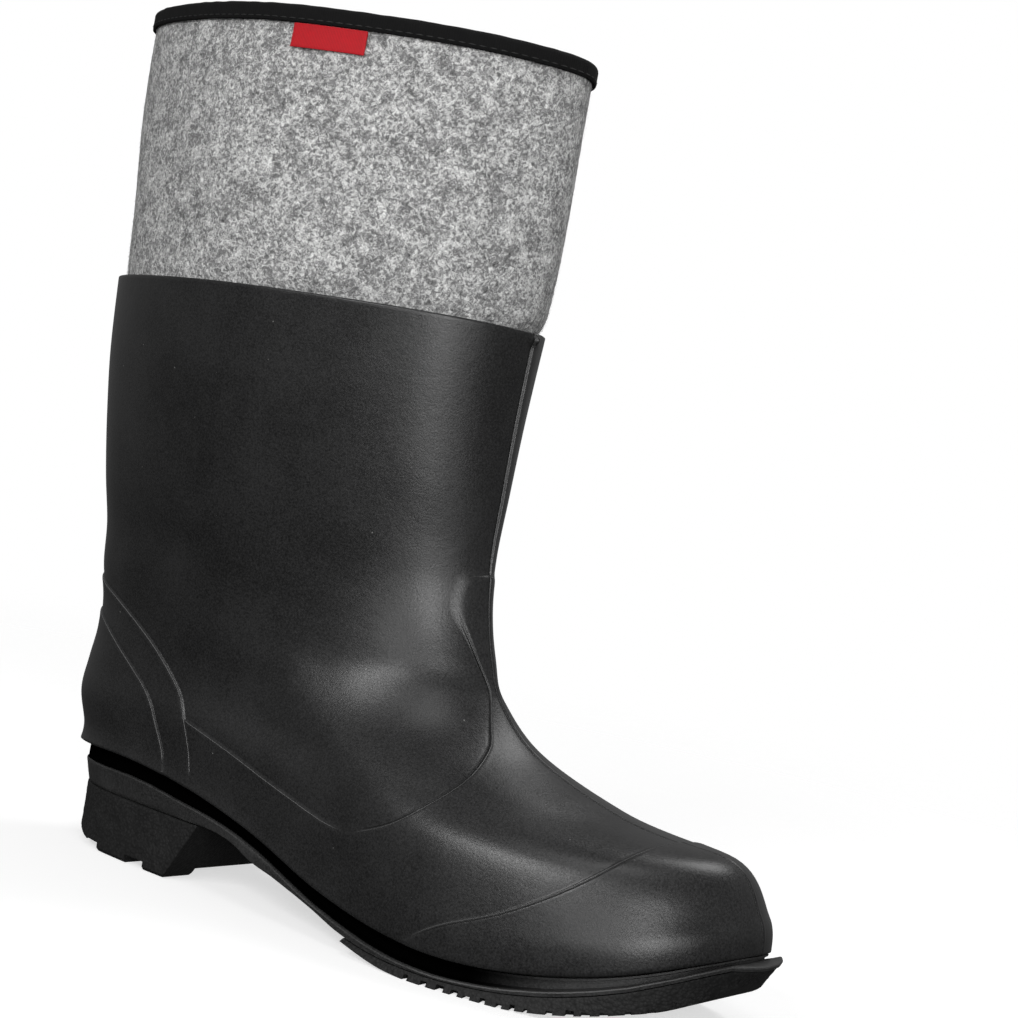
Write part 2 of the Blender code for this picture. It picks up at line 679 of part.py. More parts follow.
def main():
    """Clears the scene and builds the boot."""
    for obj in list(bpy.data.objects):
        bpy.data.objects.remove(obj, do_unlink=True)
    parts = bpy.data.collections.new("felt_lined_rubber_boot")
    helpers = bpy.data.collections.new("cutters")
    for collection in (parts, helpers):
        bpy.context.scene.collection.children.link(collection)
    pieces = [
        build_upper(parts, helpers),
        build_sole(parts),
        build_tread(parts, helpers),
        build_heel(parts, helpers),
        build_insole(parts),
        build_felt(parts),
        build_binding(parts),
        build_tab(parts),
    ]
    for piece in pieces:
        finish(piece)


if __name__ == "__main__":
    main()
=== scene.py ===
"""Dresses the felt-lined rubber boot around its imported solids.

Lengths are in millimetres until a mesh is made. x runs from the heel to the toe, y to the
wearer's left and z up from the floor. Each sub-assembly is a class that builds its meshes on
the form of the last and dresses them, and each finish is a class that makes one material.
"""

import json
import logging
import math
from dataclasses import dataclass
from enum import Enum
from typing import Callable, NamedTuple, Optional, Sequence, Union

import bmesh
import bpy
import numpy as np
from mathutils import Matrix, Quaternion, Vector, noise

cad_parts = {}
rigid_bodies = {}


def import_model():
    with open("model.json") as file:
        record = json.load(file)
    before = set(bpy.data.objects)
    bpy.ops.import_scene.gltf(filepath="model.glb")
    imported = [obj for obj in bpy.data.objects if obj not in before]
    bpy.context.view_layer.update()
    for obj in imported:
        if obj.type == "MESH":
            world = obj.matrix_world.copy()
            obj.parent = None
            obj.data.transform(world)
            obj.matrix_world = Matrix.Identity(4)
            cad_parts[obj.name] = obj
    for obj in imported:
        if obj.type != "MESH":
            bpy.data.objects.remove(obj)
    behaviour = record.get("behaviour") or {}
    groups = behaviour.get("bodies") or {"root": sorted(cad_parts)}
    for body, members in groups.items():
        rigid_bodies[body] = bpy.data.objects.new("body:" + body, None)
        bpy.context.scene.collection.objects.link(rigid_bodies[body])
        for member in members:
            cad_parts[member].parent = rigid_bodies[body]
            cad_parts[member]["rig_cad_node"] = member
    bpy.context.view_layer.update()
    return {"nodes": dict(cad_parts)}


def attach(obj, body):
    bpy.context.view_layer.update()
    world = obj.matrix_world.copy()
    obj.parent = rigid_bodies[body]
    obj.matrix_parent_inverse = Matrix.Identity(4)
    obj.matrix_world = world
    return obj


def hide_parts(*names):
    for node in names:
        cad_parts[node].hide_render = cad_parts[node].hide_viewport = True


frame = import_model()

LOG = logging.getLogger("felt_lined_rubber_boot")
BODY = "root"
MM = 0.001
STAND_X = 139.2
TINY = 0.02
SHARP_ANGLE = 35.0

# Attributes that finishes read: distances to the upper's mould lines, and where painted shade darkens the
# sole's groove
FAR = 99.0
EDGES = "mould_edges"
MORE_EDGES = "more_mould_edges"
PAINTED_GROOVE_SHADE = "recess"

Array = np.ndarray
Colour = tuple[float, float, float]


class Slot(Enum):
    """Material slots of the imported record."""

    UPPER = "upper_rubber"
    SOLE = "sole_rubber"
    TREAD = "tread_rubber"
    INSOLE = "insole_felt"
    FELT = "felt"
    TAPE = "binding_tape"
    RIBBON = "tab_ribbon"


class Section(NamedTuple):
    """One level of the form: its ends, half widths, roundness, front ridge and dip."""

    back_x: float
    back_z: float
    front_x: float
    front_z: float
    rear: float
    mid: float
    fore: float
    rear_round: float
    fore_round: float
    ridge: float
    dip: float


class Place(NamedTuple):
    """A place as seen from the side of the boot."""

    x: float
    z: float


class Edge(NamedTuple):
    """How far an edge of the sole stands out from the feather line."""

    x: float
    out: float


RUBBER_SECTIONS = (
    Section(12.4, 35.5, 292.1, 29.6, 34.2, 41.0, 47.8, 6.0, 4.0, 0.50, 1.00),
    Section(11.2, 42.5, 289.4, 41.5, 34.6, 41.7, 48.8, 5.5, 3.8, 0.50, 0.90),
    Section(6.4, 54.5, 276.3, 60.2, 35.1, 42.0, 46.5, 5.0, 3.2, 0.52, 0.60),
    Section(7.2, 67.0, 237.5, 65.9, 34.3, 38.0, 41.7, 4.4, 2.8, 0.54, 0.30),
    Section(8.7, 79.0, 202.9, 75.0, 33.4, 36.9, 37.8, 4.0, 2.4, 0.60, 0.10),
    Section(7.7, 90.6, 184.6, 88.0, 33.5, 38.0, 36.0, 3.6, 2.2, 0.64, 0.00),
    Section(3.8, 103.6, 177.3, 101.7, 35.0, 39.6, 37.0, 3.2, 2.1, 0.66, 0.00),
    Section(2.0, 118.5, 171.9, 118.5, 37.7, 42.2, 39.7, 2.8, 2.0, 0.67, 0.00),
    Section(-2.5, 136.4, 169.1, 136.5, 41.3, 45.4, 43.4, 2.5, 2.0, 0.65, 0.00),
    Section(-6.8, 158.0, 168.5, 158.8, 45.0, 49.0, 47.0, 2.3, 2.0, 0.61, 0.00),
    Section(-10.3, 181.5, 168.2, 184.2, 48.2, 52.3, 50.2, 2.2, 2.0, 0.58, 0.00),
    Section(-12.5, 209.5, 168.6, 215.0, 50.9, 55.0, 53.0, 2.1, 2.0, 0.55, 0.00),
)
FELT_SECTIONS = (
    Section(-9.1, 209.5, 165.2, 215.0, 47.9, 52.0, 50.0, 2.1, 2.0, 0.55, 0.00),
    Section(-9.9, 217.0, 168.2, 222.0, 49.0, 53.2, 51.0, 2.1, 2.0, 0.56, 0.00),
    Section(-11.6, 238.0, 169.3, 241.5, 50.0, 54.2, 51.8, 2.1, 2.0, 0.57, 0.00),
    Section(-15.8, 272.0, 169.0, 274.0, 50.9, 55.0, 52.4, 2.1, 2.0, 0.58, 0.00),
    Section(-17.4, 308.0, 168.3, 309.0, 50.9, 55.0, 52.4, 2.1, 2.0, 0.59, 0.00),
)
COLLAR = len(RUBBER_SECTIONS) - 1
RIM = len(FELT_SECTIONS) - 1
FEATHER = (
    Place(0, 35.5), Place(30, 37.4), Place(55, 37.8), Place(85, 34.8), Place(120, 27.4),
    Place(155, 16.4), Place(195, 9.9), Place(215, 9.5), Place(240, 12.2), Place(265, 18.4),
    Place(292, 29.6),
)
GROOVE = (
    Place(0, 5.8), Place(60, 6.4), Place(85, 6.2), Place(105, 4.7), Place(160, 4.9),
    Place(200, 5.3), Place(245, 4.3), Place(265, 3.5), Place(292, 2.0),
)
SOLE_LOW = (
    Place(0, 22.2), Place(57, 22.4), Place(84, 22.4), Place(102, 22.8), Place(112, 21.4),
    Place(120, 18.4), Place(133, 15.6), Place(150, 11.2), Place(166, 6.5), Place(182, 3.9),
    Place(200, 3.0), Place(220, 3.5), Place(240, 6.0), Place(265, 13.2), Place(292, 26.0),
)
TREAD_LOW = (
    Place(170, 4.4), Place(178, 2.6), Place(188, 0.8), Place(198, 0.0), Place(232, 0.0),
    Place(250, 2.4), Place(266, 6.3), Place(281, 11.8), Place(290, 18.2), Place(297, 25.0),
)
LIP = (Edge(0, -1.4), Edge(85, -1.4), Edge(112, 0.2), Edge(160, 0.8), Edge(200, 1.0), Edge(292, 1.0))
BAND_LOW = (
    Edge(0, -3.6), Edge(85, -3.6), Edge(112, -0.6), Edge(160, 0.2), Edge(200, 0.6), Edge(292, 0.6),
)
GROOVE_IN = (
    Edge(0, -1.8), Edge(22, -2.2), Edge(50, -4.8), Edge(230, -4.8), Edge(270, -3.0), Edge(292, -0.6),
)


def blend(low: float, high: float, value: Array) -> Array:
    """Smooth step from 0 at low to 1 at high.

    Args:
        low: value where the step starts.
        high: value where the step ends.
        value: values to read the step at.

    Returns:
        The step, between 0 and 1.
    """
    part = np.clip((value - low) / (high - low), 0.0, 1.0)
    return part * part * (3.0 - 2.0 * part)


def bell(centre: float, reach: float, value: Array) -> Array:
    """A smooth bump of height 1 around a centre.

    Args:
        centre: value where the bump is highest.
        reach: distance at which it has fallen to about a third.
        value: values to read the bump at.

    Returns:
        The bump, between 0 and 1.
    """
    return np.exp(-(((value - centre) / reach) ** 2))


def curve_through(points: Sequence[Place], x: Array) -> Array:
    """Heights on a smooth curve through the places of a table.

    Args:
        points: places in order of x.
        x: where to read the curve.

    Returns:
        The heights.
    """
    xs, zs = np.array(points, float).T
    slopes = np.gradient(zs, xs)
    x = np.clip(x, xs[0], xs[-1])
    i = np.clip(np.searchsorted(xs, x, side="right") - 1, 0, len(xs) - 2)
    width = xs[i + 1] - xs[i]
    t = (x - xs[i]) / width
    start = (2 * t**3 - 3 * t**2 + 1) * zs[i] + (t**3 - 2 * t**2 + t) * width * slopes[i]
    end = (3 * t**2 - 2 * t**3) * zs[i + 1] + (t**3 - t**2) * width * slopes[i + 1]
    return start + end


def through_rows(rows: Sequence[Sequence[float]], s: Array) -> Array:
    """Values at fractional rows, on a smooth curve through the rows of a table.

    Args:
        rows: the table.
        s: fractional row numbers.

    Returns:
        One row of values for each row number.
    """
    table = np.array(rows, float)
    last = len(table) - 1
    s = np.asarray(s, float)
    i = np.clip(np.floor(s).astype(int), 0, last - 1)
    f = (s - i)[..., None]
    before = table[np.clip(i - 1, 0, last)]
    here = table[i]
    after = table[i + 1]
    later = table[np.clip(i + 2, 0, last)]
    slope = after - before
    bend = 2 * before - 5 * here + 4 * after - later
    twist = 3 * here - before - 3 * after + later
    return 0.5 * (2 * here + slope * f + bend * f**2 + twist * f**3)


def lumps(points: Array, size: float, seed: float) -> Array:
    """Smooth noise over points.

    Args:
        points: places in millimetres.
        size: size of one lump in millimetres.
        seed: shift that gives each use its own noise.

    Returns:
        Values between about -1 and 1.
    """
    shift = Vector((seed, -seed, 2.0 * seed))
    return np.array([noise.noise(Vector(point) / size + shift) for point in points])


@dataclass(frozen=True)
class Last:
    """The form of the boot, from which every piece is worked out."""

    toe_swing: float = 8.7
    toe_swing_power: float = 1.8
    swing_start_x: float = 145.0
    swing_length: float = 145.0
    waist_swing: float = 3.9
    waist_x: float = 189.0
    waist_reach: float = 53.0
    swing_top_z: float = 126.0
    swing_fade: float = 87.0
    heel_to_waist: tuple[float, float] = (0.12, 0.50)
    waist_to_ball: tuple[float, float] = (0.45, 0.72)
    rear_to_fore: tuple[float, float] = (0.30, 0.70)
    round_ridge: float = 0.5
    toe_lip_extra: float = 4.2
    toe_lip_turns: tuple[float, float] = (2.2, 3.0)

    def middle_y(self, x: Array, z: Array) -> Array:
        """Sideways place of the middle line, which swings inward at the toe.

        Args:
            x: places along the boot.
            z: heights.

        Returns:
            The middle line's y.
        """
        along = np.clip((x - self.swing_start_x) / self.swing_length, 0.0, 1.0)
        toe = self.toe_swing * along**self.toe_swing_power
        waist = self.waist_swing * bell(self.waist_x, self.waist_reach, x)
        low = np.clip((self.swing_top_z - z) / self.swing_fade, 0.0, 1.0)
        return (toe - waist) * low

    def on_form(self, sections: Sequence[Section], s: Array, turn: Array) -> Array:
        """Points of the form.

        Args:
            sections: the levels of the form.
            s: fractional rows.
            turn: 0 at the back and pi at the front, with the outer side first.

        Returns:
            Points, one for each row and turn.
        """
        row = Section(*np.moveaxis(through_rows(sections, s), -1, 0))
        u = (1.0 - np.cos(turn)) / 2.0
        x = row.back_x + (row.front_x - row.back_x) * u
        ends = FEATHER[0].z + (FEATHER[-1].z - FEATHER[0].z) * u
        z = row.back_z + (row.front_z - row.back_z) * u
        z = z + row.dip * (curve_through(FEATHER, x) - ends)
        half = blend(*self.rear_to_fore, u)
        power = row.rear_round + (row.fore_round - row.rear_round) * half
        sharpness = self.round_ridge + (row.ridge - self.round_ridge) * half
        out = np.clip(1.0 - np.abs(2.0 * u - 1.0) ** power, 0.0, 1.0) ** sharpness
        to_mid = blend(*self.heel_to_waist, u)
        to_fore = blend(*self.waist_to_ball, u)
        width = row.rear * (1 - to_mid) + row.mid * (to_mid - to_fore) + row.fore * to_fore
        side = np.where(np.sin(turn) >= 0, -1.0, 1.0)
        return np.stack([x, self.middle_y(x, z) + side * width * out, z], -1)

    def normals(self, sections: Sequence[Section], s: Array, turn: Array) -> Array:
        """Outward unit normals of the form.

        Args:
            sections: the levels of the form.
            s: fractional rows.
            turn: turns round the form.

        Returns:
            One normal for each point.
        """
        last = len(sections) - 1
        above = self.on_form(sections, np.minimum(s + TINY, last), turn)
        below = self.on_form(sections, np.maximum(s - TINY, 0.0), turn)
        ahead = self.on_form(sections, s, turn + TINY)
        along = ahead - self.on_form(sections, s, turn - TINY)
        normal = np.cross(along, above - below)
        return normal / np.linalg.norm(normal, axis=-1, keepdims=True)

    def skin(self, sections: Sequence[Section], s: Array, turn: Array, grow: Array = 0.0) -> Array:
        """The form's surface, moved out along its normal.

        Args:
            sections: the levels of the form.
            s: a fractional row, or one for each turn.
            turn: turns round the form.
            grow: how far to move out.

        Returns:
            Points, one for each turn.
        """
        turn = np.asarray(turn, float)
        s = np.broadcast_to(np.asarray(s, float), turn.shape)
        grow = np.broadcast_to(np.asarray(grow, float), turn.shape)
        normal = self.normals(sections, s, turn)
        return self.on_form(sections, s, turn) + grow[..., None] * normal

    def footprint(self, turn: Array, grow: Array) -> tuple[Array, Array]:
        """The feather line in plan, moved out.

        Args:
            turn: turns round the form.
            grow: how far to move out.

        Returns:
            x and y of the line.
        """
        row = np.zeros_like(turn)
        here = self.on_form(RUBBER_SECTIONS, row, turn)
        along = self.on_form(RUBBER_SECTIONS, row, turn + TINY)
        along = along - self.on_form(RUBBER_SECTIONS, row, turn - TINY)
        length = np.hypot(along[:, 0], along[:, 1])
        x = here[:, 0] + grow * along[:, 1] / length
        y = here[:, 1] - grow * along[:, 0] / length
        return x, y

    def level_ring(self, turn: Array, grow: Array, height: Callable[[Array], Array]) -> Array:
        """A ring round the footprint, with its height worked out from x.

        Args:
            turn: turns round the form.
            grow: how far the ring stands out from the feather line.
            height: gives the height at x.

        Returns:
            The ring's points.
        """
        x, y = self.footprint(turn, grow)
        return np.stack([x, y, height(x)], -1)

    def feather_z(self, x: Array) -> Array:
        """Height of the feather line, which is the upper's lower edge."""
        return curve_through(FEATHER, x)

    def lip_top_z(self, x: Array) -> Array:
        """Height of the lip's top, below the groove."""
        return self.feather_z(x) - curve_through(GROOVE, x)

    def sole_low_z(self, x: Array) -> Array:
        """Height of the sole's underside, which the heel and the tread hang from."""
        return curve_through(SOLE_LOW, x)

    def tread_low_z(self, x: Array) -> Array:
        """Height of the tread's underside: flat under the ball, rising to the toe."""
        return np.maximum(curve_through(TREAD_LOW, x), 0.0)

    def at_toe(self, turn: Array) -> Array:
        """How far round to the toe a turn is, from 0 at the sides to 1."""
        return blend(*self.toe_lip_turns, np.minimum(turn, 2.0 * np.pi - turn))

    def edge_out(self, edges: Sequence[Edge], turn: Array) -> Array:
        """How far an edge of the sole stands out, a little more round the toe."""
        along = self.footprint(turn, 0.0)[0]
        return curve_through(edges, along) + self.toe_lip_extra * self.at_toe(turn)


LAST = Last()


def turns(count: int) -> Array:
    """Even turns round a section, starting at the back."""
    return np.arange(count) * (2.0 * np.pi / count)


def ring_quads(count: int, rings: int, joined: bool) -> list[tuple[int, ...]]:
    """Quads between neighbouring rings.

    Args:
        count: points in a ring.
        rings: number of rings.
        joined: whether the last ring joins the first.

    Returns:
        The faces.
    """
    low = np.arange(rings if joined else rings - 1)
    high = (low + 1) % rings
    k = np.arange(count)
    n = (k + 1) % count
    corners = [low[:, None] * count + k, low[:, None] * count + n]
    corners += [high[:, None] * count + n, high[:, None] * count + k]
    return [tuple(face) for face in np.stack(corners, -1).reshape(-1, 4).tolist()]


def cap_quads(count: int, start: int, pointed: bool) -> list[tuple[int, ...]]:
    """A cap of strips across a ring, between its two sides.

    Args:
        count: points in the ring.
        start: the ring's first point.
        pointed: whether the ring has one point in the middle of each end.

    Returns:
        The faces.
    """
    half = count // 2
    if not pointed:
        last = start + count - 1
        return [(start + k, start + k + 1, last - 1 - k, last - k) for k in range(half - 1)]
    end = start + count
    faces = [(start, start + 1, end - 1)]
    faces += [(start + k, start + k + 1, end - k - 1, end - k) for k in range(1, half - 1)]
    return faces + [(start + half - 1, start + half, start + half + 1)]


def in_metres(points: Array) -> Array:
    """Places in the frame's metres, from the boot's own millimetres."""
    return (np.asarray(points, float) - (STAND_X, 0.0, 0.0)) * MM


def linked(name: str, data: bpy.types.ID) -> bpy.types.Object:
    """A new object in the scene."""
    made = bpy.data.objects.new(name, data)
    bpy.context.scene.collection.objects.link(made)
    return made


def finish_mesh(mesh: bpy.types.Mesh, weld: float = 0.0) -> None:
    """Turns a mesh's faces outward and smooths them.

    Args:
        mesh: the mesh.
        weld: distance in metres within which points are joined first, or 0 to join none.
    """
    work = bmesh.new()
    work.from_mesh(mesh)
    if weld:
        bmesh.ops.remove_doubles(work, verts=work.verts, dist=weld)
    bmesh.ops.recalc_face_normals(work, faces=work.faces)
    work.to_mesh(mesh)
    work.free()
    mesh.shade_smooth()


def make_piece(name: str, points: Array, faces: list[tuple[int, ...]]) -> bpy.types.Object:
    """A smooth mesh object from points in millimetres.

    Args:
        name: the piece's name.
        points: places in the boot's own millimetres.
        faces: corners of each face.

    Returns:
        The object, with its faces turned outward.
    """
    mesh = bpy.data.meshes.new(name)
    mesh.from_pydata(in_metres(points).tolist(), [], faces)
    finish_mesh(mesh)
    return linked(name, mesh)


def sleeve(name: str, rings: Sequence[Array]) -> bpy.types.Object:
    """A hollow wall whose rings go up the outside and down the inside."""
    count = len(rings[0])
    return make_piece(name, np.concatenate(rings), ring_quads(count, len(rings), True))


def capped(name: str, rings: Sequence[Array], pointed: bool = True) -> bpy.types.Object:
    """A solid through its rings, capped at both ends.

    Args:
        name: the piece's name.
        rings: its rings, in order.
        pointed: whether each ring has one point in the middle of each end.

    Returns:
        The piece.
    """
    count = len(rings[0])
    faces = ring_quads(count, len(rings), False)
    faces += cap_quads(count, 0, pointed)
    faces += cap_quads(count, count * (len(rings) - 1), pointed)
    return make_piece(name, np.concatenate(rings), faces)


def bake_modifiers(piece: bpy.types.Object) -> None:
    """Makes the modified mesh the piece's own and drops the modifiers."""
    graph = bpy.context.evaluated_depsgraph_get()
    piece.data = bpy.data.meshes.new_from_object(piece.evaluated_get(graph))
    piece.modifiers.clear()


def box_corners(centre: Array, along: Sequence[float], half_sizes: Sequence[float]) -> Array:
    """Corners of a box whose first side lies along a direction in plan.

    Args:
        centre: the box's middle.
        along: the direction's x and y.
        half_sizes: half the length, width and height.

    Returns:
        Eight corners.
    """
    ahead = np.array([along[0], along[1], 0.0])
    across = np.array([-along[1], along[0], 0.0])
    up = np.array([0.0, 0.0, 1.0])
    corners = []
    for rise in (-1, 1):
        for a, b in ((-1, -1), (1, -1), (1, 1), (-1, 1)):
            corner = a * half_sizes[0] * ahead + b * half_sizes[1] * across
            corners.append(np.asarray(centre) + corner + rise * half_sizes[2] * up)
    return np.array(corners)


BOX_SIDES = ((0, 3, 2, 1), (4, 5, 6, 7), (0, 1, 5, 4), (1, 2, 6, 5), (2, 3, 7, 6), (3, 0, 4, 7))


def carve(piece: bpy.types.Object, boxes: Sequence[Array], soften: float) -> None:
    """Cuts boxes out of a piece and softens the edges that are left.

    Args:
        piece: the piece to cut.
        boxes: corners of each box.
        soften: width of the rounded edges.
    """
    for box in boxes:
        cut = piece.modifiers.new("cut", "BOOLEAN")
        cut.operation = "DIFFERENCE"
        cut.solver = "EXACT"
        cut.object = make_piece(f"{piece.name}_cutter", box, list(BOX_SIDES))
    bake_modifiers(piece)
    for cutter in [obj for obj in bpy.data.objects if obj.name.startswith(f"{piece.name}_cutter")]:
        bpy.data.objects.remove(cutter, do_unlink=True)
    rounded = piece.modifiers.new("soft_edges", "BEVEL")
    rounded.width = soften * MM
    rounded.segments = 2
    rounded.limit_method = "ANGLE"
    rounded.angle_limit = math.radians(SHARP_ANGLE)
    bake_modifiers(piece)
    piece.data.shade_smooth()
    piece.data.set_sharp_from_angle(angle=math.radians(SHARP_ANGLE))


def pebbles(ring: Array, rough: float) -> Array:
    """Sideways moves that roughen a ring of a moulded block.

    Args:
        ring: the ring's points.
        rough: how far they move.

    Returns:
        The moves.
    """
    moves = [lumps(ring, 1.6, 31.0 + k) + 0.6 * lumps(ring, 4.5, 41.0 + k) for k in range(2)]
    return np.stack([*moves, np.zeros(len(ring))], -1) * rough


def lay_weave(piece: bpy.types.Object, along: Array, across: Array, period: float) -> None:
    """Gives a piece the lengths along and across its cloth, in millimetres.

    Args:
        piece: the piece.
        along: length along the cloth at each vertex.
        across: length across the cloth at each vertex.
        period: length at which a closed strip meets itself, or 0 for an open one.
    """
    layer = piece.data.uv_layers.new(name="weave")
    for face in piece.data.polygons:
        lengths = along[list(face.vertices)]
        wraps = period > 0.0 and lengths.max() - lengths.min() > period / 2
        for loop in face.loop_indices:
            vertex = piece.data.loops[loop].vertex_index
            length = along[vertex]
            if wraps and length < period / 2:
                length += period
            layer.data[loop].uv = (length, across[vertex])


def shades(colour: Colour, low: float, high: float) -> tuple[Colour, Colour]:
    """A darker and a lighter shade of a colour."""
    return tuple(low * c for c in colour), tuple(high * c for c in colour)


class Socket:
    """An output in a node sheet, whose operators add Math nodes."""

    def __init__(self, sheet: "NodeSheet", link: bpy.types.NodeSocket) -> None:
        """Keeps the sheet and the socket that it wraps."""
        self.sheet = sheet
        self.link = link

    def math(self, operation: str, *values: "Value") -> "Socket":
        """Adds a Math node over values."""
        return self.sheet.node("ShaderNodeMath", {"operation": operation}, dict(enumerate(values)))

    def __add__(self, other: "Value") -> "Socket":
        """Sum."""
        return self.math("ADD", self, other)

    def __radd__(self, other: "Value") -> "Socket":
        """Sum, with a number first."""
        return self.math("ADD", other, self)

    def __sub__(self, other: "Value") -> "Socket":
        """Difference."""
        return self.math("SUBTRACT", self, other)

    def __rsub__(self, other: "Value") -> "Socket":
        """Difference, with a number first."""
        return self.math("SUBTRACT", other, self)

    def __mul__(self, other: "Value") -> "Socket":
        """Product."""
        return self.math("MULTIPLY", self, other)

    def __rmul__(self, other: "Value") -> "Socket":
        """Product, with a number first."""
        return self.math("MULTIPLY", other, self)

    def __truediv__(self, other: "Value") -> "Socket":
        """Quotient."""
        return self.math("DIVIDE", self, other)

    def __rtruediv__(self, other: "Value") -> "Socket":
        """Quotient, with a number first."""
        return self.math("DIVIDE", other, self)

    def __pow__(self, other: "Value") -> "Socket":
        """Power."""
        return self.math("POWER", self, other)

    def wave(self, period: float) -> "Socket":
        """A wave between 0 and 1 that repeats after a period."""
        return self.math("SINE", self * (2.0 * math.pi / period), 0.0) * 0.5 + 0.5

    def size(self) -> "Socket":
        """The value without its sign."""
        return self.math("ABSOLUTE", self)

    def highest(self, other: "Value") -> "Socket":
        """The larger of two values."""
        return self.math("MAXIMUM", self, other)

    def step(self, low: float, high: float) -> "Socket":
        """Smooth step from 0 at low to 1 at high."""
        inputs = {"Value": self, "From Min": low, "From Max": high}
        return self.sheet.node("ShaderNodeMapRange", {"interpolation_type": "SMOOTHSTEP"}, inputs)


Value = Union[Socket, float, int]


class NodeSheet:
    """A material's nodes, around one Principled shader."""

    def __init__(self, name: str) -> None:
        """Makes the material."""
        self.material = bpy.data.materials.new(name)
        self.material.use_nodes = True
        self.tree = self.material.node_tree
        self.surface = self.tree.nodes["Principled BSDF"]

    def node(
        self, kind: str, settings: Optional[dict] = None, inputs: Optional[dict] = None,
        output: Union[int, str] = 0,
    ) -> Socket:
        """Adds a node.

        Args:
            kind: the node's type.
            settings: its own values, set first; stops are those of a colour ramp.
            inputs: values or links of its sockets, by name or number.
            output: the output to give back.

        Returns:
            The output socket.
        """
        made = self.tree.nodes.new(kind)
        for key, value in (settings or {}).items():
            if key == "stops":
                self.set_stops(made.color_ramp, value)
            else:
                setattr(made, key, value)
        for key, value in (inputs or {}).items():
            if isinstance(value, Socket):
                self.tree.links.new(value.link, made.inputs[key])
            else:
                made.inputs[key].default_value = value
        return Socket(self, made.outputs[output])

    @staticmethod
    def set_stops(ramp: bpy.types.ColorRamp, stops: Sequence[tuple[float, Colour]]) -> None:
        """Sets a ramp's places and colours.

        Args:
            ramp: the ramp.
            stops: a place and a colour for each stop, in order.
        """
        while len(ramp.elements) < len(stops):
            ramp.elements.new(1.0)
        for element, (place, colour) in zip(ramp.elements, stops):
            element.position = place
            element.color = (*colour, 1.0)

    def feed(self, **values: Union[Socket, float, Colour]) -> None:
        """Sets or links the shader's sockets, named with _ for a space.

        Args:
            values: a value or a link for each socket.
        """
        for name, value in values.items():
            socket = self.surface.inputs[name.replace("_", " ")]
            if isinstance(value, Socket):
                self.tree.links.new(value.link, socket)
            elif isinstance(value, tuple):
                socket.default_value = (*value, 1.0)
            else:
                socket.default_value = value

    def shade(self, factor: Socket, colour: Colour) -> None:
        """Mixes the surface with a dull near-black one: painted shade for places that light hardly reaches.

        Args:
            factor: share of the painted shade.
            colour: its colour.
        """
        shade_surface = self.tree.nodes.new("ShaderNodeBsdfDiffuse")
        shade_surface.inputs["Color"].default_value = (*colour, 1.0)
        mix = self.tree.nodes.new("ShaderNodeMixShader")
        self.tree.links.new(factor.link, mix.inputs[0])
        self.tree.links.new(self.surface.outputs[0], mix.inputs[1])
        self.tree.links.new(shade_surface.outputs[0], mix.inputs[2])
        self.tree.links.new(mix.outputs[0], self.tree.nodes["Material Output"].inputs["Surface"])

    def millimetres(self) -> Socket:
        """The piece's own coordinates in millimetres."""
        place = self.node("ShaderNodeTexCoord", output="Object")
        return self.node(
            "ShaderNodeVectorMath", {"operation": "SCALE"}, {0: place, "Scale": 1.0 / MM}
        )

    def stretched(self, place: Socket, turn: Sequence[float], scale: Sequence[float]) -> Socket:
        """Coordinates turned and then scaled, for grain that runs one way."""
        turned = self.node("ShaderNodeMapping", {}, {"Vector": place, "Rotation": turn})
        return self.node("ShaderNodeVectorMath", {"operation": "MULTIPLY"}, {0: turned, 1: scale})

    def speckle(
        self, place: Socket, size: float, detail: float = 2.0, rough: float = 0.5, warp: float = 0.0
    ) -> Socket:
        """Noise between 0 and 1.

        Args:
            place: coordinates in millimetres.
            size: size of one speck in millimetres.
            detail: octaves of finer noise.
            rough: weight of the finer noise.
            warp: how far the noise is distorted.

        Returns:
            The noise.
        """
        inputs = {
            "Vector": place, "Scale": 1.0 / size, "Detail": detail, "Roughness": rough,
            "Distortion": warp,
        }
        return self.node("ShaderNodeTexNoise", {}, inputs)

    def cells(self, place: Socket, size: float, output: str = "Distance") -> Socket:
        """Voronoi cells of a size in millimetres."""
        return self.node("ShaderNodeTexVoronoi", {}, {"Vector": place, "Scale": 1.0 / size}, output)

    def part(self, vector: Socket, axis: str) -> Socket:
        """One axis of a vector or colour."""
        return self.node("ShaderNodeSeparateXYZ", {}, {0: vector}, axis)

    def mixed(self, factor: Value, first: Union[Socket, Colour], second: Union[Socket, Colour]) -> Socket:
        """A mix of two colours."""
        ends = [(*c, 1.0) if isinstance(c, tuple) else c for c in (first, second)]
        return self.node("ShaderNodeMix", {"data_type": "RGBA"}, {0: factor, 6: ends[0], 7: ends[1]}, 2)

    def ramp(self, factor: Socket, stops: Sequence[tuple[float, Colour]]) -> Socket:
        """A colour read from stops."""
        return self.node("ShaderNodeValToRGB", {"stops": stops}, {0: factor})

    def bump(self, height: Socket, depth: float, under: Optional[Socket] = None) -> Socket:
        """A normal raised by a height.

        Args:
            height: height between 0 and 1.
            depth: what height 1 stands for, in millimetres.
            under: a normal that this one is added to.

        Returns:
            The normal.
        """
        inputs = {"Strength": 1.0, "Distance": depth * MM, "Height": height}
        if under is not None:
            inputs["Normal"] = under
        return self.node("ShaderNodeBump", {}, inputs)


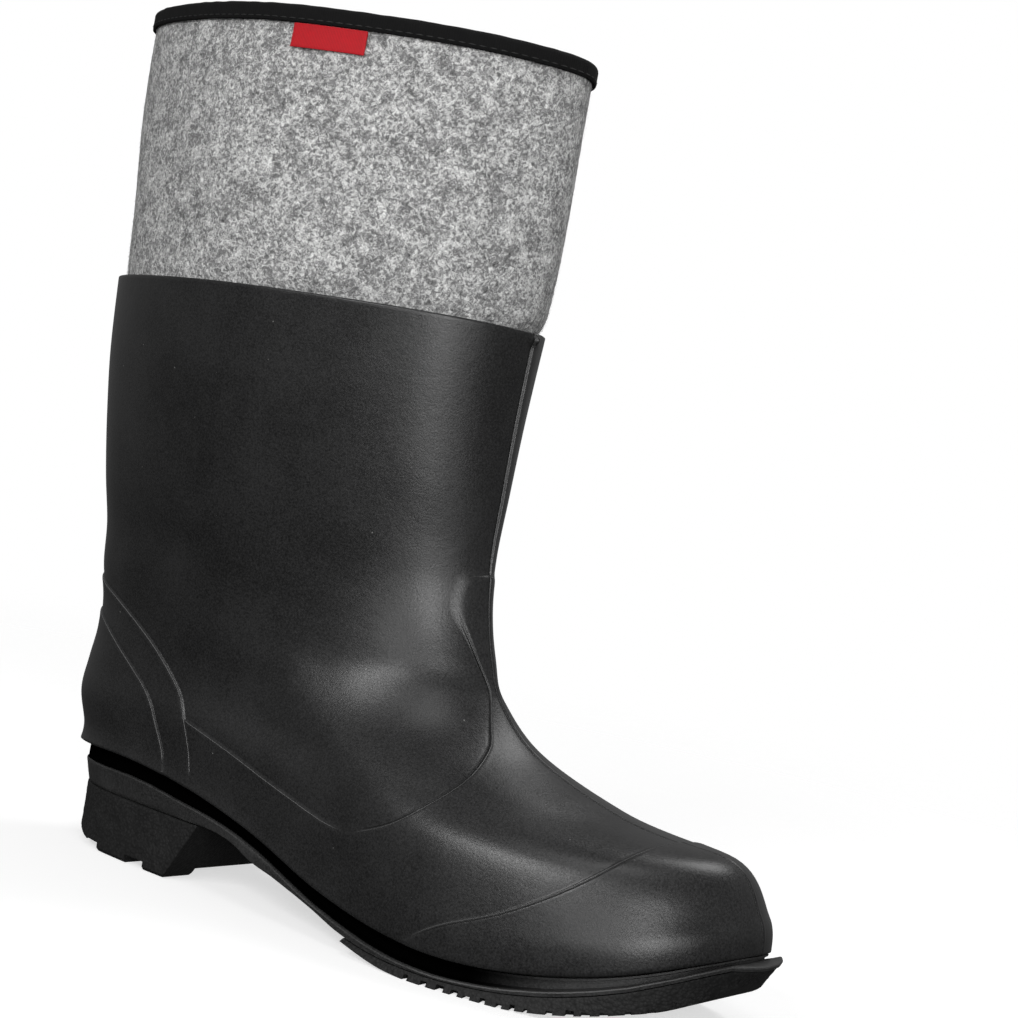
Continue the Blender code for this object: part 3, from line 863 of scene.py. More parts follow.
@dataclass(frozen=True)
class RubberFinish:
    """Moulded black rubber with a fine grain and a few specks of dust."""

    name: str
    colour: Colour
    roughness: float
    grain_size: float
    grain_depth: float
    peel_depth: float = 0.05
    dust: float = 0.0
    dust_spacing: float = 7.0
    dust_colour: Colour = (0.30, 0.30, 0.29)
    cloud_size: float = 26.0
    peel_size: float = 3.2
    specular: float = 0.40
    # Painted highlight and wear: colour that lightens the mould's ridges, and its share.
    ridge_highlight_and_wear: Colour = (0.16, 0.16, 0.16)
    ridge_highlight_and_wear_share: float = 0.7
    # Painted shade: near-black colour for the mould's grooves and parting line.
    mould_groove_shade: Colour = (0.0008, 0.0008, 0.0008)
    trim_height: float = 0.25
    # Painted shade: whether a dull near-black surface is mixed into the sole's groove, and its colour.
    recess: bool = False
    painted_groove_shade_colour: Colour = (0.0006, 0.0006, 0.0006)

    def trim(self, sheet: NodeSheet) -> Optional[tuple[Socket, Socket]]:
        """Ridges and grooves of the mould, where the finish has any."""
        return None

    def make(self) -> bpy.types.Material:
        """Makes the material.

        Returns:
            The material.
        """
        sheet = NodeSheet(self.name)
        place = sheet.millimetres()
        cloud = sheet.speckle(place, self.cloud_size, 3.0, 0.55)
        grain = sheet.speckle(place, self.grain_size, 2.0, 0.6)
        peel = sheet.speckle(place, self.peel_size, 2.0, 0.5)
        tone = sheet.mixed((cloud * 0.35 + grain * 0.65).step(0.3, 0.7), *shades(self.colour, 0.45, 1.6))
        seed = sheet.part(sheet.cells(place, self.dust_spacing, "Color"), "X")
        speck = 1.0 - sheet.cells(place, self.dust_spacing).step(0.02, 0.05)
        speck = speck * seed.step(0.80, 0.84)
        tone = sheet.mixed(speck * self.dust, tone, self.dust_colour)
        roughness = cloud * 0.10 + grain * 0.24 + (self.roughness - 0.17)
        normal = sheet.bump(peel, self.peel_depth)
        normal = sheet.bump(grain, self.grain_depth, normal)
        trim = self.trim(sheet)
        if trim is not None:
            ridge, groove = trim
            # Painted highlight and wear: the ridges are lightened so they read as light lines under any lamp.
            tone = sheet.mixed(ridge * self.ridge_highlight_and_wear_share, tone, self.ridge_highlight_and_wear)
            # Painted shade: the grooves and the parting line are darkened toward near-black.
            tone = sheet.mixed(groove, tone, self.mould_groove_shade)
            roughness = roughness + groove * 0.5
            normal = sheet.bump(ridge - groove, self.trim_height, normal)
        sheet.feed(
            Base_Color=tone,
            Roughness=roughness,
            Specular_IOR_Level=self.specular,
            Normal=normal,
        )
        # Painted shade: a dull near-black surface mixed in over the sole's groove, by the mesh's attribute.
        if self.recess:
            depth = sheet.node("ShaderNodeAttribute", {"attribute_name": PAINTED_GROOVE_SHADE}, output="Fac")
            sheet.shade(depth.step(0.1, 0.9), self.painted_groove_shade_colour)
        return sheet.material


@dataclass(frozen=True)
class MouldedRubberFinish(RubberFinish):
    """The upper's rubber, with the fine ridges and grooves along its mould lines."""

    fine: float = 0.25
    fades_at_x: float = 24.0

    def trim(self, sheet: NodeSheet) -> tuple[Socket, Socket]:
        """Ridges and grooves, from each place's distances to the mould lines.

        Args:
            sheet: the finish's nodes.

        Returns:
            Heights of the ridges and of the grooves, between 0 and 1.
        """
        edges = sheet.node("ShaderNodeAttribute", {"attribute_name": EDGES}, output="Vector")
        more = sheet.node("ShaderNodeAttribute", {"attribute_name": MORE_EDGES}, output="Vector")
        vamp, counter, inner = (sheet.part(edges, axis) for axis in "XYZ")
        cap, seam, fade = (sheet.part(more, axis) for axis in "XYZ")
        x = sheet.part(sheet.millimetres(), "X")
        ahead = x.step(self.fades_at_x, self.fades_at_x + 10.0)
        on_vamp = (1.0 - counter.step(-0.9, -0.3)) * (x - self.fades_at_x).size().step(2.0, 12.0)
        heel_ridge = self.along(counter, 0.2).highest(self.along(inner, 0.2)) * fade
        vamp_ridge = self.along(vamp, 0.35) * on_vamp * (1.0 - ahead * 0.4)
        ridge = heel_ridge.highest(vamp_ridge).highest(self.along(cap, -0.3) * fade * 0.6)
        heel_groove = self.along(counter, -0.6).highest(self.along(inner, -0.6)) * fade
        groove = (self.along(vamp, -0.3) * on_vamp * ahead).highest(heel_groove * 0.2)
        groove = groove.highest(self.along(cap, 0.35) * fade * 0.8).highest(self.along(seam, 0.0))
        return ridge, groove

    def along(self, distance: Socket, centre: float) -> Socket:
        """A fine line at a distance from a mould line."""
        return 1.0 - (distance - centre).size().step(0.0, self.fine)


@dataclass(frozen=True)
class PebbledRubberFinish:
    """Rough rubber of the heel and the tread, pebbled by its mould."""

    name: str
    colour: Colour
    roughness: float = 0.72
    pebble_size: float = 1.1
    pebble_depth: float = 0.22
    specular: float = 0.34

    def make(self) -> bpy.types.Material:
        """Makes the material.

        Returns:
            The material.
        """
        sheet = NodeSheet(self.name)
        place = sheet.millimetres()
        pebbles = 1.0 - sheet.cells(place, self.pebble_size)
        cloud = sheet.speckle(place, 9.0, 3.0, 0.6)
        grit = sheet.speckle(place, 0.5, 2.0, 0.6)
        tone = sheet.mixed((cloud * 0.5 + pebbles * 0.5).step(0.35, 0.75), *shades(self.colour, 0.6, 1.6))
        normal = sheet.bump(pebbles, self.pebble_depth)
        normal = sheet.bump(grit, 0.07, normal)
        sheet.feed(
            Base_Color=tone,
            Roughness=cloud * 0.2 + (self.roughness - 0.1),
            Specular_IOR_Level=self.specular,
            Normal=normal,
        )
        return sheet.material


@dataclass(frozen=True)
class FeltFinish:
    """Grey wool felt: dark and pale fibres pressed together at random."""

    name: str
    dark: Colour
    middle: Colour
    pale: Colour
    fibre_size: float = 0.75
    depth: float = 0.5

    def make(self) -> bpy.types.Material:
        """Makes the material.

        Returns:
            The material.
        """
        sheet = NodeSheet(self.name)
        place = sheet.millimetres()
        fine = sheet.speckle(place, 1.35, 3.0, 0.62, 0.9)
        blotch = sheet.speckle(place, 6.5, 3.0, 0.6, 0.4)
        strands = None
        for turn in ((0.0, 0.6, 0.3), (0.4, -0.7, 0.0), (0.9, 1.5, 0.7)):
            way = sheet.stretched(place, turn, (1.0, 1.0, 0.22))
            strand = sheet.speckle(way, self.fibre_size, 1.0, 0.5, 0.5)
            strands = strand if strands is None else strands.highest(strand)
        tone = fine * 0.62 + blotch * 0.30 + strands * 0.34
        tone = tone.step(0.34, 0.94)
        colour = sheet.ramp(
            tone, ((0.0, self.dark), (0.45, self.middle), (1.0, self.pale))
        )
        normal = sheet.bump(strands, self.depth * 0.6)
        normal = sheet.bump(fine, self.depth, normal)
        sheet.feed(
            Base_Color=colour,
            Roughness=0.96,
            Specular_IOR_Level=0.15,
            Sheen_Weight=0.12,
            Normal=normal,
        )
        return sheet.material


@dataclass(frozen=True)
class WovenFinish:
    """Woven tape or ribbon, with its ribs across its length."""

    name: str
    colour: Colour
    rib: float
    thread: float
    depth: float
    roughness: float = 0.8
    sheen: float = 0.0

    def make(self) -> bpy.types.Material:
        """Makes the material.

        Returns:
            The material.
        """
        sheet = NodeSheet(self.name)
        cloth = sheet.node("ShaderNodeUVMap", {"uv_map": "weave"})
        along = sheet.part(cloth, "X")
        across = sheet.part(cloth, "Y")
        place = sheet.millimetres()
        uneven = sheet.speckle(place, 2.4, 3.0, 0.6)
        shifted = across + along.wave(2.0 * self.rib) * (self.thread * 0.5)
        weave = along.wave(self.rib) * 0.6 + shifted.wave(self.thread) * 0.4
        tone = sheet.mixed(weave * 0.6 + uneven * 0.4, *shades(self.colour, 0.55, 1.25))
        sheet.feed(
            Base_Color=tone,
            Roughness=uneven * 0.2 + (self.roughness - 0.1),
            Specular_IOR_Level=0.25,
            Sheen_Weight=self.sheen,
            Normal=sheet.bump(weave, self.depth),
        )
        return sheet.material


@dataclass(frozen=True)
class ThreadFinish:
    """Twisted sewing thread."""

    name: str
    colour: Colour

    def make(self) -> bpy.types.Material:
        """Makes the material.

        Returns:
            The material.
        """
        sheet = NodeSheet(self.name)
        place = sheet.millimetres()
        twist = sheet.speckle(sheet.stretched(place, (0.0, 0.5, 0.5), (1.0, 1.0, 0.3)), 0.25)
        sheet.feed(
            Base_Color=sheet.mixed(twist, *shades(self.colour, 0.6, 1.5)),
            Roughness=0.62,
            Normal=sheet.bump(twist, 0.08),
        )
        return sheet.material


Finish = Union[RubberFinish, PebbledRubberFinish, FeltFinish, WovenFinish, ThreadFinish]
UPPER_RUBBER = MouldedRubberFinish(
    "moulded_rubber", (0.015, 0.015, 0.0152), 0.34, 0.7, 0.05, dust=0.5
)
# The sole's finish mixes painted shade into its groove.
SOLE_RUBBER = RubberFinish(
    "grained_sole_rubber", (0.030, 0.030, 0.030), 0.48, 0.7, 0.07, dust=0.5, recess=True
)
TREAD_RUBBER = PebbledRubberFinish("pebbled_rubber", (0.010, 0.010, 0.010))
WOOL_FELT = FeltFinish("wool_felt", (0.025, 0.025, 0.025), (0.24, 0.24, 0.24), (0.95, 0.95, 0.94))
LINING_FELT = FeltFinish("lining_felt", (0.05, 0.05, 0.05), (0.20, 0.20, 0.20), (0.5, 0.5, 0.49))
BINDING_TAPE = WovenFinish("woven_binding", (0.004, 0.004, 0.0042), 0.9, 0.45, 0.10, 0.95)
TAB_RIBBON = WovenFinish("woven_ribbon", (0.48, 0.009, 0.016), 0.55, 0.40, 0.07, 0.70)
FELT_FIBRE = ThreadFinish("felt_fibre", (0.34, 0.34, 0.34))
BLACK_THREAD = ThreadFinish("black_thread", (0.010, 0.010, 0.010))


def present(piece: bpy.types.Object, slot: Slot, finish: Finish, *nodes: str) -> bpy.types.Object:
    """Dresses a piece, sets it on its body and hides the solids that it stands for.

    Args:
        piece: the piece.
        slot: the record's slot for the piece; not used.
        finish: the finish.
        nodes: solids that the piece stands for.

    Returns:
        The piece.
    """
    known = bpy.data.materials.get(finish.name)
    piece.data.materials.clear()
    piece.data.materials.append(known or finish.make())
    if "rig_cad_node" not in piece:
        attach(piece, BODY)
    if nodes:
        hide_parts(*nodes)
    LOG.info("%s: %d faces, %s", piece.name, len(piece.data.polygons), finish.name)
    return piece


@dataclass(frozen=True)
class MouldLine:
    """The edge of an overlay moulded into the upper, as seen from the side."""

    points: tuple[Place, ...]
    past_end: float
    step: float
    edge: float = 0.6
    bead: float = 0.05
    groove: float = 0.06
    soft_x: float = 0.0
    soft_reach: float = 12.0
    soft_edge: float = 0.0
    pieces: int = 4
    beyond: float = 60.0

    def polyline(self) -> Array:
        """The smooth line through the points."""
        last = len(self.points) - 1
        return through_rows(self.points, np.linspace(0, last, self.pieces * last + 1))

    def distance(self, points: Array, normals: Array) -> tuple[Array, Array]:
        """Signed distance over the surface, positive on the overlay.

        Args:
            points: places on the form.
            normals: the form's normals there.

        Returns:
            The distance, and the line's x at its nearest point.
        """
        line = self.polyline()
        seen = points[:, [0, 2]]
        best = np.full(len(seen), np.inf)
        nearest = np.zeros_like(seen)
        for start, end in zip(line[:-1], line[1:]):
            run = end - start
            t = np.clip(((seen - start) @ run) / (run @ run), 0.0, 1.0)
            foot = start + t[:, None] * run
            gap = np.hypot(*(seen - foot).T)
            closer = gap < best
            best[closer] = gap[closer]
            nearest[closer] = foot[closer]
        away = (seen - nearest) / np.maximum(best, 1e-6)[:, None]
        facing = np.einsum("ij,ij->i", away, normals[:, [0, 2]])
        best = best / np.sqrt(np.clip(1.0 - facing**2, 0.08, 1.0))
        return np.where(self.covers(seen, line), best, -best), nearest[:, 0]

    def covers(self, seen: Array, line: Array) -> Array:
        """Whether each place lies on the overlay's side of the line.

        Args:
            seen: x and z of the places.
            line: the smooth line.

        Returns:
            True where the overlay covers the place.
        """
        corners = [
            (line[-1][0], -self.beyond), (self.past_end, -self.beyond), (self.past_end, line[0][1]),
        ]
        outline = np.concatenate([line, np.array(corners)])
        inside = np.zeros(len(seen), bool)
        for (x0, z0), (x1, z1) in zip(outline, np.roll(outline, -1, axis=0)):
            if z0 == z1:
                continue
            crosses = (z0 > seen[:, 1]) != (z1 > seen[:, 1])
            at = x0 + (seen[:, 1] - z0) * (x1 - x0) / (z1 - z0)
            inside ^= crosses & (seen[:, 0] < at)
        return inside

    def height(self, distance: Array, line_x: Array) -> tuple[Array, Array]:
        """How far the surface stands out near the line.

        Args:
            distance: signed distance over the surface.
            line_x: x of the line's nearest point.

        Returns:
            The step itself, and the bead and groove along its edge.
        """
        soft = bell(self.soft_x, self.soft_reach, line_x) if self.soft_edge else 0.0 * line_x
        edge = self.edge + self.soft_edge * soft
        rise = self.step * blend(-1.0, 1.0, distance / edge)
        trim = self.bead * bell(1.1, 0.7, distance) - self.groove * bell(-0.75, 0.55, distance)
        return rise, trim * (1.0 - soft)


@dataclass
class RubberUpper:
    """The moulded upper: one wall with the steps of its vamp, counter and toe cap."""

    wall: float = 2.5
    around: int = 288
    rows_in_section: int = 12
    refine_within: float = 3.0
    refine_cuts: int = 3
    weld: float = 1e-6
    ripple: float = 0.10
    ripple_size: float = 32.0
    hem: tuple[tuple[float, float], ...] = (
        (0.0, -1.9), (0.02, -1.15), (0.05, -0.62), (0.09, -0.3), (0.14, -0.1),
    )
    toe_hem: float = 0.8
    flare: float = 1.1
    flare_reach: float = 3.2
    flare_ends_x: tuple[float, float] = (140.0, 190.0)
    trim_fades: tuple[float, float] = (4.0, 9.0)
    seam_step: float = 0.75
    seam_fin: float = 0.25
    seam_groove: float = 0.25
    seam_rows: tuple[float, float] = (6.8, 9.0)
    nub_height: float = 1.3
    nub_reach: float = 2.0
    vamp: MouldLine = MouldLine(
        (
            Place(182, 131), Place(167.5, 129), Place(165.2, 124), Place(166.3, 116),
            Place(171.5, 107), Place(186.5, 82.5), Place(193, 73), Place(195, 63),
            Place(186, 51), Place(174, 43.5), Place(158, 39.6), Place(130, 45.4),
            Place(104, 52.4), Place(76, 59),
        ),
        past_end=340.0, step=0.5, soft_x=163.0, soft_reach=7.0, soft_edge=2.5,
    )
    counter: MouldLine = MouldLine(
        (
            Place(-12, 106), Place(16, 97), Place(32, 92), Place(54, 81.5), Place(73, 67.5),
            Place(80, 57), Place(84.5, 47), Place(87, 36), Place(88, 20),
        ),
        past_end=-40.0, step=0.7,
    )
    inner_counter: MouldLine = MouldLine(
        (
            Place(-12, 93), Place(18, 85), Place(37, 76), Place(58, 63.5), Place(67, 52),
            Place(73, 40), Place(77, 20),
        ),
        past_end=-40.0, step=0.6,
    )
    toe_cap: MouldLine = MouldLine(
        (
            Place(268, 70), Place(260, 59), Place(253, 50), Place(241, 39), Place(225, 28.5),
            Place(206, 19.5), Place(194, 10), Place(190, -2),
        ),
        past_end=340.0, step=0.5,
    )

    def path(self) -> Array:
        """Rows and offsets up the outside, over the collar and down the inside.

        Returns:
            A row and an offset for each ring.
        """
        outside = np.arange(3.0 / self.rows_in_section, COLLAR - 0.05, 1.0 / self.rows_in_section)
        rim = [
            (COLLAR - 0.035, 0.0), (COLLAR - 0.012, -0.12), (COLLAR, -0.5), (COLLAR, -1.9),
            (COLLAR - 0.02, -2.4), (COLLAR - 0.05, -self.wall),
        ]
        inside = np.arange(COLLAR - 0.5, -0.1, -0.5)
        rings = list(self.hem) + [(row, 0.0) for row in outside] + rim
        rings += [(row, -self.wall) for row in inside]
        return np.array(rings + [self.hem[0]])

    def lines(self) -> tuple[MouldLine, ...]:
        """The edges of the overlays."""
        return (self.vamp, self.counter, self.inner_counter, self.toe_cap)

    def relief(self, points: Array, normals: Array, row: Array) -> tuple[Array, Array]:
        """How far the moulded details stand out, and each place's distances to them.

        Args:
            points: places on the plain form.
            normals: its normals.
            row: its fractional rows.

        Returns:
            Heights, and for each place its distances to the vamp, counter, inner counter, toe cap
            and parting line.
        """
        distances, rises, trims = [], [], []
        for line in self.lines():
            distance, line_x = line.distance(points, normals)
            rise, trim = line.height(distance, line_x)
            distances.append(distance)
            rises.append(rise)
            trims.append(trim)
        vamp, counter, inner, cap = rises
        trims[0] = trims[0] * (1.0 - blend(-1.0, 0.0, distances[1]))
        height = np.maximum(vamp + cap, counter + inner) + sum(trims) * self.fade(points)
        seam, beside = self.seam(points, normals, row)
        return height + seam + self.flared(points), np.stack([*distances, beside], -1)

    def above_feather(self, points: Array) -> Array:
        """Heights above the upper's lower edge."""
        return points[:, 2] - LAST.feather_z(points[:, 0])

    def fade(self, points: Array) -> Array:
        """How strong the fine trim is: it fades just above the upper's lower edge."""
        return blend(*self.trim_fades, self.above_feather(points))

    def flared(self, points: Array) -> Array:
        """How far the lower edge flares round the heel and the waist."""
        low = np.exp(-np.maximum(self.above_feather(points), 0.0) / self.flare_reach)
        return self.flare * low * (1.0 - blend(*self.flare_ends_x, points[:, 0]))

    def seam(self, points: Array, normals: Array, row: Array) -> tuple[Array, Array]:
        """The mould's parting line down the front: a step, a fin and a groove.

        Args:
            points: places on the plain form.
            normals: its normals.
            row: its fractional rows.

        Returns:
            Heights, and distances from the parting line.
        """
        aside = points[:, 1] - LAST.middle_y(points[:, 0], points[:, 2])
        in_front = blend(0.0, 0.15, normals[:, 0])
        on_shaft = blend(*self.seam_rows, row)
        step = self.seam_step * on_shaft * blend(-0.3, 0.3, aside) * bell(0.0, 7.0, aside)
        fin = self.seam_fin * (1.0 - 0.6 * on_shaft) * bell(0.35, 0.45, aside)
        groove = self.seam_groove * bell(-0.55, 0.4, aside)
        up = np.hypot(aside - 0.6, (row - COLLAR + 0.12) * 28.0)
        nub = self.nub_height * bell(0.0, self.nub_reach, up)
        height = (step + fin - groove + nub) * in_front
        return height, np.where(in_front > 0.0, aside + 0.55, FAR)

    def flat_mesh(self, path: Array) -> bpy.types.Mesh:
        """The wall laid flat, with turns and rings as coordinates, finer near the details.

        Args:
            path: rows and offsets of the rings.

        Returns:
            The flat mesh.
        """
        turn = np.linspace(0.0, 2.0 * np.pi, self.around + 1)
        ring = np.arange(len(path), dtype=float)
        grid = np.stack(np.meshgrid(turn, ring), -1).reshape(-1, 2)
        outside = (grid[:, 1] >= 1.0) & (path[grid[:, 1].astype(int), 1] == 0.0)
        outside &= grid[:, 1] < len(path) - 1
        row = path[grid[:, 1].astype(int), 0]
        points = LAST.on_form(RUBBER_SECTIONS, row, grid[:, 0])
        normals = LAST.normals(RUBBER_SECTIONS, row, grid[:, 0])
        near = np.abs(self.relief(points, normals, row)[1]).min(axis=1)
        fine = outside & (near < self.refine_within)
        work = bmesh.new()
        corners = [work.verts.new((t, v, 0.0)) for t, v in grid.tolist()]
        across = self.around + 1
        chosen = set()
        for v in range(len(path) - 1):
            for k in range(self.around):
                index = (v * across + k, v * across + k + 1, (v + 1) * across + k + 1, (v + 1) * across + k)
                face = work.faces.new([corners[i] for i in index])
                if all(outside[i] for i in index) and any(fine[i] for i in index):
                    chosen.update(face.edges)
        bmesh.ops.subdivide_edges(
            work, edges=list(chosen), cuts=self.refine_cuts, use_grid_fill=True
        )
        mesh = bpy.data.meshes.new("rubber_upper")
        work.to_mesh(mesh)
        work.free()
        return mesh

    def build(self) -> bpy.types.Object:
        """Builds and dresses the upper.

        Returns:
            The piece.
        """
        path = self.path()
        mesh = self.flat_mesh(path)
        flat = np.zeros(len(mesh.vertices) * 3)
        mesh.vertices.foreach_get("co", flat)
        turn, ring = flat.reshape(-1, 3)[:, :2].T
        order = np.arange(len(path))
        row = np.interp(ring, order, path[:, 0])
        grow = np.interp(ring, order, path[:, 1])
        in_hem = (ring < len(self.hem)) | (ring >= len(path) - 1)
        grow = np.where(in_hem, grow * (1.0 - self.toe_hem * LAST.at_toe(turn)), grow)
        points = LAST.on_form(RUBBER_SECTIONS, row, turn)
        normals = LAST.normals(RUBBER_SECTIONS, row, turn)
        height, distances = self.relief(points, normals, row)
        height = height + self.ripple * lumps(points, self.ripple_size, 3.1)
        fade = self.fade(points)[:, None]
        self.lay_edges(mesh, EDGES, distances[:, :3])
        self.lay_edges(mesh, MORE_EDGES, np.concatenate([distances[:, 3:], fade], axis=1))
        grow = grow + height * blend(-1.2, 0.0, grow)
        points = points + grow[:, None] * normals
        mesh.vertices.foreach_set("co", in_metres(points).ravel())
        finish_mesh(mesh, self.weld)
        return present(linked(mesh.name, mesh), Slot.UPPER, UPPER_RUBBER, "upper")

    @staticmethod
    def lay_edges(mesh: bpy.types.Mesh, name: str, values: Array) -> None:
        """Gives each vertex three values that its finish reads.

        Args:
            mesh: the upper's mesh.
            name: the attribute's name.
            values: three values for each vertex.
        """
        layer = mesh.attributes.new(name, "FLOAT_VECTOR", "POINT")
        layer.data.foreach_set("vector", np.clip(values, -FAR, FAR).ravel())


@dataclass
class Sole:
    """The full-length sole: a flange under the upper, a groove darkened by painted shade, a lip and the band
    below it.
    """

    around: int = 400
    gap: float = 0.3
    flange_out: float = -2.2
    toe_flange_out: float = 0.2
    flange: float = 0.7
    lip_round: float = 0.6
    shelf: float = 2.4
    groove_reach: float = 2.6
    band_parts: tuple[float, ...] = (0.2, 0.4, 0.6, 0.8, 0.94)
    low_round: float = 0.35
    uneven: float = 0.10
    # Painted shade: how many of the groove's rings get it, and where it fades out toward the toe.
    painted_shade_rings: int = 5
    painted_shade_fades_x: tuple[float, float] = (205.0, 268.0)

    def build(self) -> bpy.types.Object:
        """Builds and dresses the sole.

        Returns:
            The piece.
        """
        turn = turns(self.around)
        lip = LAST.edge_out(LIP, turn)
        low = LAST.edge_out(BAND_LOW, turn)
        flange = self.flange_out + (self.toe_flange_out - self.flange_out) * LAST.at_toe(turn)
        along = LAST.footprint(turn, 0.0)[0]
        inner = np.maximum(curve_through(GROOVE_IN, along), flange - self.groove_reach)
        rim = self.lip_round
        under = self.gap + self.flange
        shelf = lip - np.minimum(self.shelf, 0.6 * (lip - inner))
        crest = lip - np.minimum(rim, 0.4 * (lip - inner))
        below_feather = ((flange, self.gap), (flange, under), (inner, under + 0.5 * rim))
        below_lip_top = (
            (inner, -0.5 * rim), (shelf, 0.0), (crest, 0.0), (0.7 * lip + 0.3 * crest, 0.3 * rim), (lip, rim),
        )
        rings = [
            LAST.level_ring(turn, out, lambda x, d=drop: LAST.feather_z(x) - d)
            for out, drop in below_feather
        ]
        rings += [
            LAST.level_ring(turn, out, lambda x, d=drop: LAST.lip_top_z(x) - d)
            for out, drop in below_lip_top
        ]
        edge = rings[-1]
        bottom = LAST.level_ring(turn, low, LAST.sole_low_z)
        rings += [edge + (bottom - edge) * part for part in self.band_parts]
        rings = [ring + self.wobble(ring) for ring in rings]
        rings.append(LAST.level_ring(turn, low - self.low_round, LAST.sole_low_z))
        piece = capped("sole_unit", rings)
        piece.data.set_sharp_from_angle(angle=math.radians(SHARP_ANGLE))
        # Painted shade: the groove's first rings are marked for the finish's dull near-black surface, fading
        # out toward the toe.
        dark = np.zeros((len(rings), self.around))
        dark[:self.painted_shade_rings] = 1.0 - blend(*self.painted_shade_fades_x, along)
        layer = piece.data.attributes.new(PAINTED_GROOVE_SHADE, "FLOAT", "POINT")
        layer.data.foreach_set("value", dark.ravel())
        return present(piece, Slot.SOLE, SOLE_RUBBER, "sole")

    def wobble(self, ring: Array) -> Array:
        """Small uneven moves of a moulded edge."""
        return np.stack([lumps(ring, 6.0, 21.0 + k) for k in range(3)], -1) * self.uneven


@dataclass
class Tread:
    """The forefoot tread, with bars across its underside and notches round its rough edge."""

    around: int = 440
    levels: int = 7
    samples: int = 600
    gap: float = 0.3
    back_x: float = 170.0
    out: float = 0.6
    toe_extra: float = 3.6
    flare: float = 1.4
    toe_taper: float = 5.4
    rough: float = 0.32
    notch_start: float = 22.0
    notch_pitch: tuple[float, float] = (4.2, 7.5)
    notch_width: tuple[float, float] = (1.2, 2.8)
    notch_height: tuple[float, float] = (0.7, 1.9)
    notch_depth: float = 3.0
    notch_below: float = 4.0
    bar_pitch: float = 11.0
    bar_groove: float = 2.8
    bar_depth: float = 1.8
    bar_inset: float = 9.0
    bar_start_x: float = 203.0
    bar_end_x: float = 284.0
    soften: float = 0.3
    seed: int = 5

    def fore_turns(self, count: int) -> Array:
        """Turns round the forefoot, from the tread's outer back corner to its inner one."""
        lateral = np.linspace(np.pi / 4, np.pi, self.samples)
        start = np.interp(self.back_x, LAST.footprint(lateral, self.out)[0], lateral)
        return np.linspace(start, 2.0 * np.pi - start, count)

    def edge_out(self, turn: Array) -> Array:
        """How far the tread stands out, following the lip round the toe."""
        return self.out + self.toe_extra * LAST.at_toe(turn)

    def notches(self) -> list[Array]:
        """Boxes of uneven size that notch the tread's edge.

        Returns:
            Corners of each box.
        """
        draw = np.random.default_rng(self.seed)
        turn = self.fore_turns(self.samples)
        x, y = LAST.footprint(turn, self.edge_out(turn))
        run = np.concatenate([[0.0], np.cumsum(np.hypot(np.diff(x), np.diff(y)))])
        count = int(run[-1] / self.notch_pitch[0])
        places = self.notch_start + np.cumsum(draw.uniform(*self.notch_pitch, count))
        places = places[places < run[-1] - self.notch_start]
        columns = (x, y, np.gradient(x, run), np.gradient(y, run))
        boxes = []
        for at_x, at_y, dx, dy in np.stack([np.interp(places, run, c) for c in columns], -1):
            height = draw.uniform(*self.notch_height)
            half = (height + self.notch_below) / 2
            centre = (at_x, at_y, LAST.tread_low_z(at_x) + height - half)
            half_sizes = (draw.uniform(*self.notch_width) / 2, self.notch_depth, half)
            boxes.append(box_corners(centre, (dx, dy), half_sizes))
        return boxes

    def bar_grooves(self) -> list[Array]:
        """Boxes that part the bars across the tread's underside.

        Returns:
            Corners of each box.
        """
        turn = self.fore_turns(self.samples)
        x, y = LAST.footprint(turn, self.edge_out(turn))
        outer = turn <= np.pi
        boxes = []
        for at_x in np.arange(self.bar_start_x, self.bar_end_x, self.bar_pitch):
            low_y = np.interp(at_x, x[outer], y[outer]) + self.bar_inset
            high_y = np.interp(-at_x, -x[~outer], y[~outer]) - self.bar_inset
            centre = (at_x, (low_y + high_y) / 2, LAST.tread_low_z(at_x))
            half_sizes = (self.bar_groove / 2, (high_y - low_y) / 2, self.bar_depth)
            boxes.append(box_corners(centre, (1.0, 0.0), half_sizes))
        return boxes

    def build(self) -> bpy.types.Object:
        """Builds and dresses the tread.

        Returns:
            The piece.
        """
        turn = self.fore_turns(self.around)
        out = self.edge_out(turn)
        low_out = out + self.flare - self.toe_taper * LAST.at_toe(turn)
        top = LAST.level_ring(turn, out, lambda x: LAST.sole_low_z(x) - self.gap)
        low = LAST.level_ring(turn, low_out, LAST.tread_low_z)
        rings = [top]
        for part in np.linspace(0.0, 1.0, self.levels)[1:-1]:
            ring = top + (low - top) * part
            rings.append(ring + pebbles(ring, self.rough))
        rings.append(low)
        piece = capped("forefoot_lugs", rings, pointed=False)
        carve(piece, self.notches() + self.bar_grooves(), self.soften)
        return present(piece, Slot.TREAD, TREAD_RUBBER, "forefoot_tread")


class Span(NamedTuple):
    """Where a groove is cut in the face that the heel stands on."""

    low_x: float
    high_x: float
    low_y: float
    high_y: float


